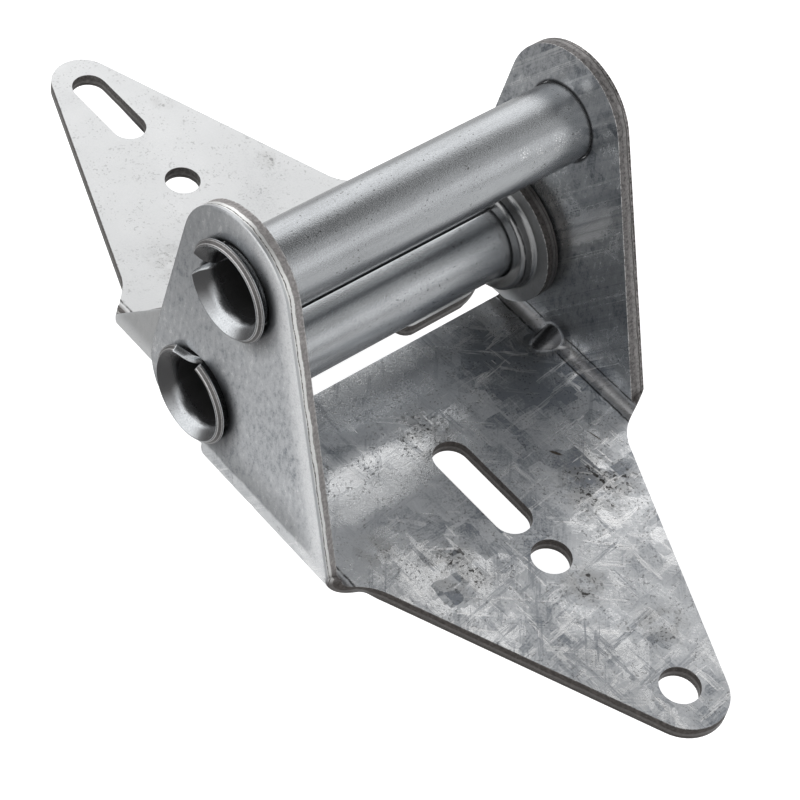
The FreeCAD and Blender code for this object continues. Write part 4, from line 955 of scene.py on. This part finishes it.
@dataclass
class SplitTube:
    """A rolled tube with an open seam, whose two flared ends curl out into petals at the seam."""

    node: str
    body: str
    y: float
    z: float
    seam_angle: float
    seam_opening: float
    curl_low: float
    curl_high: float
    flare_shift: float = 0.0
    radius: float = 7.94
    wall: float = 1.50
    straight: float = 39.35
    bend: float = 2.00
    lean: float = 46.0
    run: float = 2.02
    gap: float = 0.70
    rim: float = 0.16

    INPUTS = ("Radius", "Straight", "Bend", "Lean", "Run", "Seam", "Shift", "Gap", "Spread", "Curl Low",
              "Curl High")
    BODY_SHARE = 0.3
    WIDENING = 1.15
    RINGS, SPOKES = 81, 145
    CUT_FACING = 0.93

    @classmethod
    def tree(cls) -> NodeTree:
        """Build the tree that rolls a grid into the tube's outer skin.

        Returns:
            The geometry tree, with the tube's sizes as named inputs.
        """
        if "rolled_tube" in bpy.data.node_groups:
            return bpy.data.node_groups["rolled_tube"]
        tree = bpy.data.node_groups.new("rolled_tube", "GeometryNodeTree")
        for name in cls.INPUTS:
            tree.interface.new_socket(name, in_out="INPUT", socket_type="NodeSocketFloat")
        tree.interface.new_socket("Coat", in_out="INPUT", socket_type="NodeSocketMaterial")
        tree.interface.new_socket("Geometry", in_out="OUTPUT", socket_type="NodeSocketGeometry")
        w = Wiring(tree)
        i = w.add("NodeGroupInput")
        sink = w.add("NodeGroupOutput")
        # The grid runs from -1 to 1 along the tube and from 0 to 1 round it.
        grid = w.add("GeometryNodeMeshGrid", {"Size X": 2.0, "Size Y": 1.0, "Vertices X": cls.RINGS,
                                              "Vertices Y": cls.SPOKES})
        u, v, _ = w.parts(w.add("GeometryNodeInputPosition")[0])
        v = v + 0.5
        far = abs(u)
        plain = (far / cls.BODY_SHARE).min(1.0) * i["Straight"]
        beyond = ((far - cls.BODY_SHARE) / (1.0 - cls.BODY_SHARE)).max(0.0)
        # The petals beside the seam lean out further than the rest of the flare.
        low = w.ease(v, 0.0, 0.16, 1.0, 0.0) ** 1.5
        high = w.ease(v, 0.84, 1.0) ** 1.5
        lean = i["Lean"] + (low * i["Curl Low"] + high * i["Curl High"])
        t = beyond * (i["Bend"] * i["Lean"] + i["Run"])
        turn = (t / i["Bend"]).min(lean)
        rest = t - turn * i["Bend"]
        cosine, sine = turn.cos(), turn.sin()
        reach = plain + i["Bend"] * sine + rest * cosine
        r = i["Radius"] + i["Bend"] * (1.0 - cosine) + rest * sine
        # The seam is a narrow gap along the body and widens into a V on the flare.
        widening = beyond ** cls.WIDENING
        half = i["Gap"] / (r * 2.0) + i["Spread"] * widening
        theta = i["Seam"] + half + v * (2.0 * math.pi - half * 2.0) + i["Shift"] * widening
        place = w.join(u.sign() * reach, r * theta.cos(), r * theta.sin())
        shaped = w.add("GeometryNodeSetPosition", {"Geometry": grid["Mesh"], "Position": place})
        whole = w.add("GeometryNodeRealizeInstances", {"Geometry": shaped[0]})
        coated = w.add("GeometryNodeSetMaterial", {"Geometry": whole[0], "Material": i["Coat"]})
        sink.feed({"Geometry": coated[0]})
        return tree

    def build(self, coat: Material) -> None:
        """Make the piece.

        Args:
            coat: the tube's finish.
        """
        name = self.node + "_rolled"
        piece = place(name, bpy.data.meshes.new(name))
        roll = piece.modifiers.new("roll", "NODES")
        roll.node_group = self.tree()
        values = {"Radius": self.radius * MM, "Straight": self.straight * MM, "Bend": self.bend * MM,
                  "Lean": math.radians(self.lean), "Run": self.run * MM, "Gap": self.gap * MM,
                  "Seam": math.radians(self.seam_angle), "Shift": math.radians(self.flare_shift),
                  "Spread": math.radians(self.seam_opening / 2.0), "Curl Low": math.radians(self.curl_low),
                  "Curl High": math.radians(self.curl_high), "Coat": coat}
        for item in roll.node_group.interface.items_tree:
            if item.in_out == "INPUT":
                roll[item.identifier] = values[item.name]
        wall = piece.modifiers.new("wall", "SOLIDIFY")
        wall.thickness = self.wall * MM
        wall.offset = 1.0
        wall.use_even_offset = True
        edge = piece.modifiers.new("rim", "BEVEL")
        edge.width = self.rim * MM
        edge.segments = 2
        edge.limit_method = "ANGLE"
        edge.angle_limit = math.radians(50.0)
        mesh = baked(piece)
        self.smooth(mesh)
        self.mark_painted_shade(mesh)
        self.mark_cut(mesh)
        mesh.transform(Matrix.Translation(Vector((0.0, self.y, self.z)) * MM))
        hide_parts(self.node)
        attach(piece, self.body)
        LOG.info("%s: %d faces", piece.name, len(mesh.polygons))

    def smooth(self, mesh: Mesh) -> None:
        """Point the faces outwards and smooth them.

        Args:
            mesh: the tube's mesh.
        """
        bm = bmesh.new()
        bm.from_mesh(mesh)
        bmesh.ops.remove_doubles(bm, verts=bm.verts, dist=1e-7)
        bmesh.ops.recalc_face_normals(bm, faces=bm.faces)
        if bm.calc_volume(signed=True) < 0.0:
            bmesh.ops.reverse_faces(bm, faces=bm.faces)
        bm.to_mesh(mesh)
        bm.free()
        for polygon in mesh.polygons:
            polygon.use_smooth = True
        mesh.set_sharp_from_angle(angle=math.radians(40.0))

    def mark_painted_shade(self, mesh: Mesh) -> None:
        """Mark the painted shade in the bore and on the shaded side of each flare.

        Args:
            mesh: the tube's mesh, centred on its own axis.
        """
        painted_shade = mesh.attributes.new("painted_shade", "FLOAT", "POINT")
        bore = (self.radius - self.wall + 0.5) * MM
        for vertex, normal, cell in zip(mesh.vertices, mesh.vertex_normals, painted_shade.data):
            co = vertex.co
            if math.hypot(co.y, co.z) < bore:
                cell.value = min(max((self.straight * MM - abs(co.x)) / (3.0 * MM) + 0.8, 0.0), 1.0)
            inwards = normal.vector.y * co.y + normal.vector.z * co.z < 0.0
            if inwards and abs(co.x) > self.straight * MM:
                cell.value = max(cell.value, min(max(3.6 * (0.69 - normal.vector.z), 0.0), 0.95))

    def mark_cut(self, mesh: Mesh) -> None:
        """Mark the cut rims, and how far each of their points lies from the outer edge.

        Args:
            mesh: the tube's mesh, centred on its own axis.
        """
        cut = mesh.attributes.new("cut", "FLOAT", "FACE")
        across = mesh.attributes.new("across", "FLOAT", "POINT")
        slope = math.radians(self.lean)
        rims = [0.0] * len(mesh.vertices)
        for polygon, cell in zip(mesh.polygons, cut.data):
            spot, normal = polygon.center, polygon.normal
            r = max(math.hypot(spot.y, spot.z), 1e-6)
            spread = (normal.y * spot.y + normal.z * spot.z) / r
            facing = normal.x * math.copysign(1.0, spot.x) * math.cos(slope) + spread * math.sin(slope)
            cell.value = 1.0 if facing > self.CUT_FACING and abs(spot.x) > self.straight * MM else 0.0
            if cell.value > 0.5 and polygon.area > 1e-10:
                corners = [mesh.vertices[i].co for i in polygon.vertices]
                reaches = [math.hypot(co.y, co.z) for co in corners]
                low, high = min(reaches), max(reaches)
                for i, reach in zip(polygon.vertices, reaches):
                    rims[i] = max(rims[i], (high - reach) / max(high - low, 1e-6))
        across.data.foreach_set("value", rims)


@dataclass
class Studio:
    """Pale floor, soft lamps and the camera at the photograph's view."""

    lens: float = 117.136
    shift_x: float = 0.02395
    shift_y: float = -0.00101
    eye: tuple[float, float, float] = (-255.466, -226.855, 366.072)
    turn: tuple[float, float, float, float] = (0.88778958, 0.30034443, -0.18045821, -0.29842539)
    floor_z: float = -29.60
    floor_half_metres: float = 6.0
    floor_tone: float = 0.62
    floor_glow: float = 0.86
    floor_mirrored: float = 0.34
    near_wall: float = 0.62
    far_wall: float = 1.0
    left_wall: float = 1.9
    ceiling: float = 0.10
    dim_from: float = 0.74
    dim_to: float = 0.87
    lamp_metres: float = 1.5

    def camera(self) -> None:
        """Set the camera where the photograph was taken from."""
        data = bpy.data.cameras.new("photo_view")
        data.lens = self.lens
        data.sensor_width = 36.0
        data.sensor_fit = "HORIZONTAL"
        data.shift_x = self.shift_x
        data.shift_y = self.shift_y
        data.clip_start = 0.01
        data.clip_end = 50.0
        eye = place("photo_view", data)
        eye.rotation_mode = "QUATERNION"
        eye.rotation_quaternion = self.turn
        eye.location = Vector(self.eye) * MM
        bpy.context.scene.camera = eye

    def floor(self) -> None:
        """Lay a plain pale floor that keeps a faint shadow and is white to the camera."""
        mesh = bpy.data.meshes.new("floor")
        half, z = self.floor_half_metres, self.floor_z * MM
        mesh.from_pydata([(-half, -half, z), (half, -half, z), (half, half, z), (-half, half, z)], [],
                         [(0, 1, 2, 3)])
        floor = place("floor", mesh)
        material = bpy.data.materials.new("floor")
        material.use_nodes = True
        material.node_tree.nodes.clear()
        w = Wiring(material.node_tree)
        path = w.add("ShaderNodeLightPath")
        matte = w.add("ShaderNodeBsdfDiffuse", {"Color": scaled(WHITE, self.floor_tone)})
        seen = path["Is Camera Ray"] * self.floor_glow
        spot = w.parts(w.add("ShaderNodeNewGeometry")["Position"])
        mirrored = path["Is Glossy Ray"] * w.ease(spot[1], -0.03, 0.05, self.floor_mirrored,
                                                  0.25 * self.floor_mirrored)
        glow = w.add("ShaderNodeEmission", {"Color": WHITE, "Strength": seen + mirrored})
        both = w.add("ShaderNodeAddShader", {0: matte[0], 1: glow[0]})
        w.add("ShaderNodeOutputMaterial", {"Surface": both[0]})
        mesh.materials.append(material)

    def world(self) -> None:
        """White to the camera; to everything else pale walls under a dark ceiling."""
        world = bpy.data.worlds.new("studio")
        world.use_nodes = True
        world.node_tree.nodes.clear()
        w = Wiring(world.node_tree)
        path = w.add("ShaderNodeLightPath")
        white = w.add("ShaderNodeBackground", {"Color": WHITE, "Strength": 1.0})
        way = w.parts(w.add("ShaderNodeTexCoord")["Generated"])
        walls = (w.ease(way[1], -0.75, 0.65, self.near_wall, self.far_wall)
                 * w.ease(way[0], -0.8, 0.3, self.left_wall, 1.0))
        level = w.mix(w.ease(way[2], self.dim_from, self.dim_to), w.join(walls, walls, walls),
                      scaled(WHITE, self.ceiling))
        room = w.add("ShaderNodeBackground", {"Color": level, "Strength": 1.0})
        mixed = w.add("ShaderNodeMixShader", {0: path["Is Camera Ray"], 1: room[0], 2: white[0]})
        w.add("ShaderNodeOutputWorld", {"Surface": mixed[0]})
        bpy.context.scene.world = world

    def lamp(self, name: str, towards: tuple[float, float, float], wide: float, tall: float,
             power: float) -> None:
        """Hang one soft lamp that faces the hinge.

        Args:
            name: the lamp's name.
            towards: direction from the hinge to the lamp.
            wide: width in metres.
            tall: height in metres.
            power: watts.
        """
        data = bpy.data.lights.new(name, "AREA")
        data.shape = "RECTANGLE"
        data.size = wide
        data.size_y = tall
        data.energy = power
        way = Vector(towards).normalized()
        lamp = place(name, data)
        lamp.location = way * self.lamp_metres
        lamp.rotation_mode = "QUATERNION"
        lamp.rotation_quaternion = way.to_track_quat("Z", "Y")

    def build(self) -> None:
        """Set up the whole studio."""
        bpy.context.scene.view_settings.view_transform = "Standard"
        self.camera()
        self.floor()
        self.world()
        self.lamp("back_box", (0.45, 0.78, 0.48), 1.9, 1.2, 3.2)
        self.lamp("right_box", (0.55, -0.75, 0.36), 0.7, 0.7, 0.8)


def main() -> None:
    """Build the studio and the hinge, and log each piece's face count."""
    logging.basicConfig(level=logging.INFO, format="%(name)s: %(message)s", stream=sys.stdout)
    Studio().build()
    effects = SharedEffects()
    bracket = {"middle": 0.0, "half_width": 40.85}
    leaf = {"middle": 1.20, "half_width": 36.16}
    ear_bores = ((0.0, 0.0), (-6.0, 34.0))
    bracket_face = SheetFinish(
        "bracket_zinc", colour=(0.60, 0.615, 0.635), dark=(0.26, 0.28, 0.31), light=(0.97, 0.98, 0.99),
        roughness=0.31, spangle=1.0, needles=0.8, pits=1.0, inner_upright_shade=0.5, outer_upright_shade=0.92,
        wave=0.4, bores=ear_bores, darts=1.0, rear_slope=(-40.4, -13.8, -6.0, 35.1, 14.75),
        clusters=((-11.0, -66.0, 9.0), (-10.0, -57.0, 6.0), (-11.0, -80.0, 8.0)),
        light_and_shade_patches=((-17.0, -26.0, 19.0, 6.5, 0.95), (27.0, -22.0, 15.0, 15.0, -0.5),
                (-4.0, -8.0, 26.0, 9.0, 0.35), (-27.0, -58.0, 8.0, 9.0, -0.2),
                (9.0, -62.0, 7.0, 6.0, 0.3), (24.0, -57.0, 6.0, 5.0, 0.25),
                (24.0, -47.0, 8.0, 6.0, -0.25), (-9.0, -60.0, 7.0, 6.0, 0.25),
                (6.0, -95.0, 14.0, 12.0, 0.2), (-6.0, -41.0, 9.0, 6.0, -0.25)),
        nicks=((17.7, -40.6, 1.5, 0.42, -1.0), (27.2, -41.7, 1.9, 0.18, -1.34)),
        glints=((-19.0, 17.0, 3.4, 12.0, 0.9), (-9.6, 46.0, 1.8, 2.4, 0.8)),
        stains=((-1.0, -23.1, 8.0), (18.4, -50.3, 10.0), (23.0, -52.0, 7.0), (-17.2, -51.0, 9.0),
                (0.6, -67.0, 6.0), (-26.7, -38.8, 5.0), (7.0, -82.0, 6.0)), **bracket).build(effects)
    leaf_face = SheetFinish(
        "leaf_zinc", colour=(0.76, 0.768, 0.773), dark=(0.63, 0.64, 0.65), light=(0.86, 0.865, 0.87),
        roughness=0.42, spangle=0.10, needles=0.25, pits=0.45, inner_upright_shade=0.30, outer_upright_shade=0.66,
        wave=0.15, stains=((-14.0, 40.0, 7.0), (12.0, 78.0, 3.0), (20.0, 52.0, 3.5)), **leaf).build(effects)
    bracket_cut = ShearedFinish("bracket_cut", **bracket).build(effects)
    leaf_cut = ShearedFinish("leaf_cut", torn=(0.12, 0.11, 0.105), low=(0.10, 0.094, 0.09),
                             **leaf).build(effects)
    tube_coat = TubeFinish("tube_zinc", scuffs=((21.4, -12.1, 39.0, 1.8), (25.2, -12.5, 38.6, 1.3),
                                                (30.0, -12.7, 38.2, 2.2), (34.8, -12.9, 37.9, 1.5))
                           ).build(effects)
    FoldedSheet("bracket", "bracket", "bracket_steel", bores=ear_bores, **bracket
                ).build(bracket_face, bracket_cut)
    FoldedSheet("leaf", "leaf", "leaf_steel", **leaf).build(leaf_face, leaf_cut)
    SplitTube("roller_tube", "roller_tube", -6.0, 34.0, -3.0, 29.0, 6.0, 6.0).build(tube_coat)
    SplitTube("pivot_tube", "pivot_tube", 0.0, 0.0, 84.5, 38.0, 4.0, 12.0, flare_shift=-7.5).build(tube_coat)


if __name__ == "__main__":
    main()
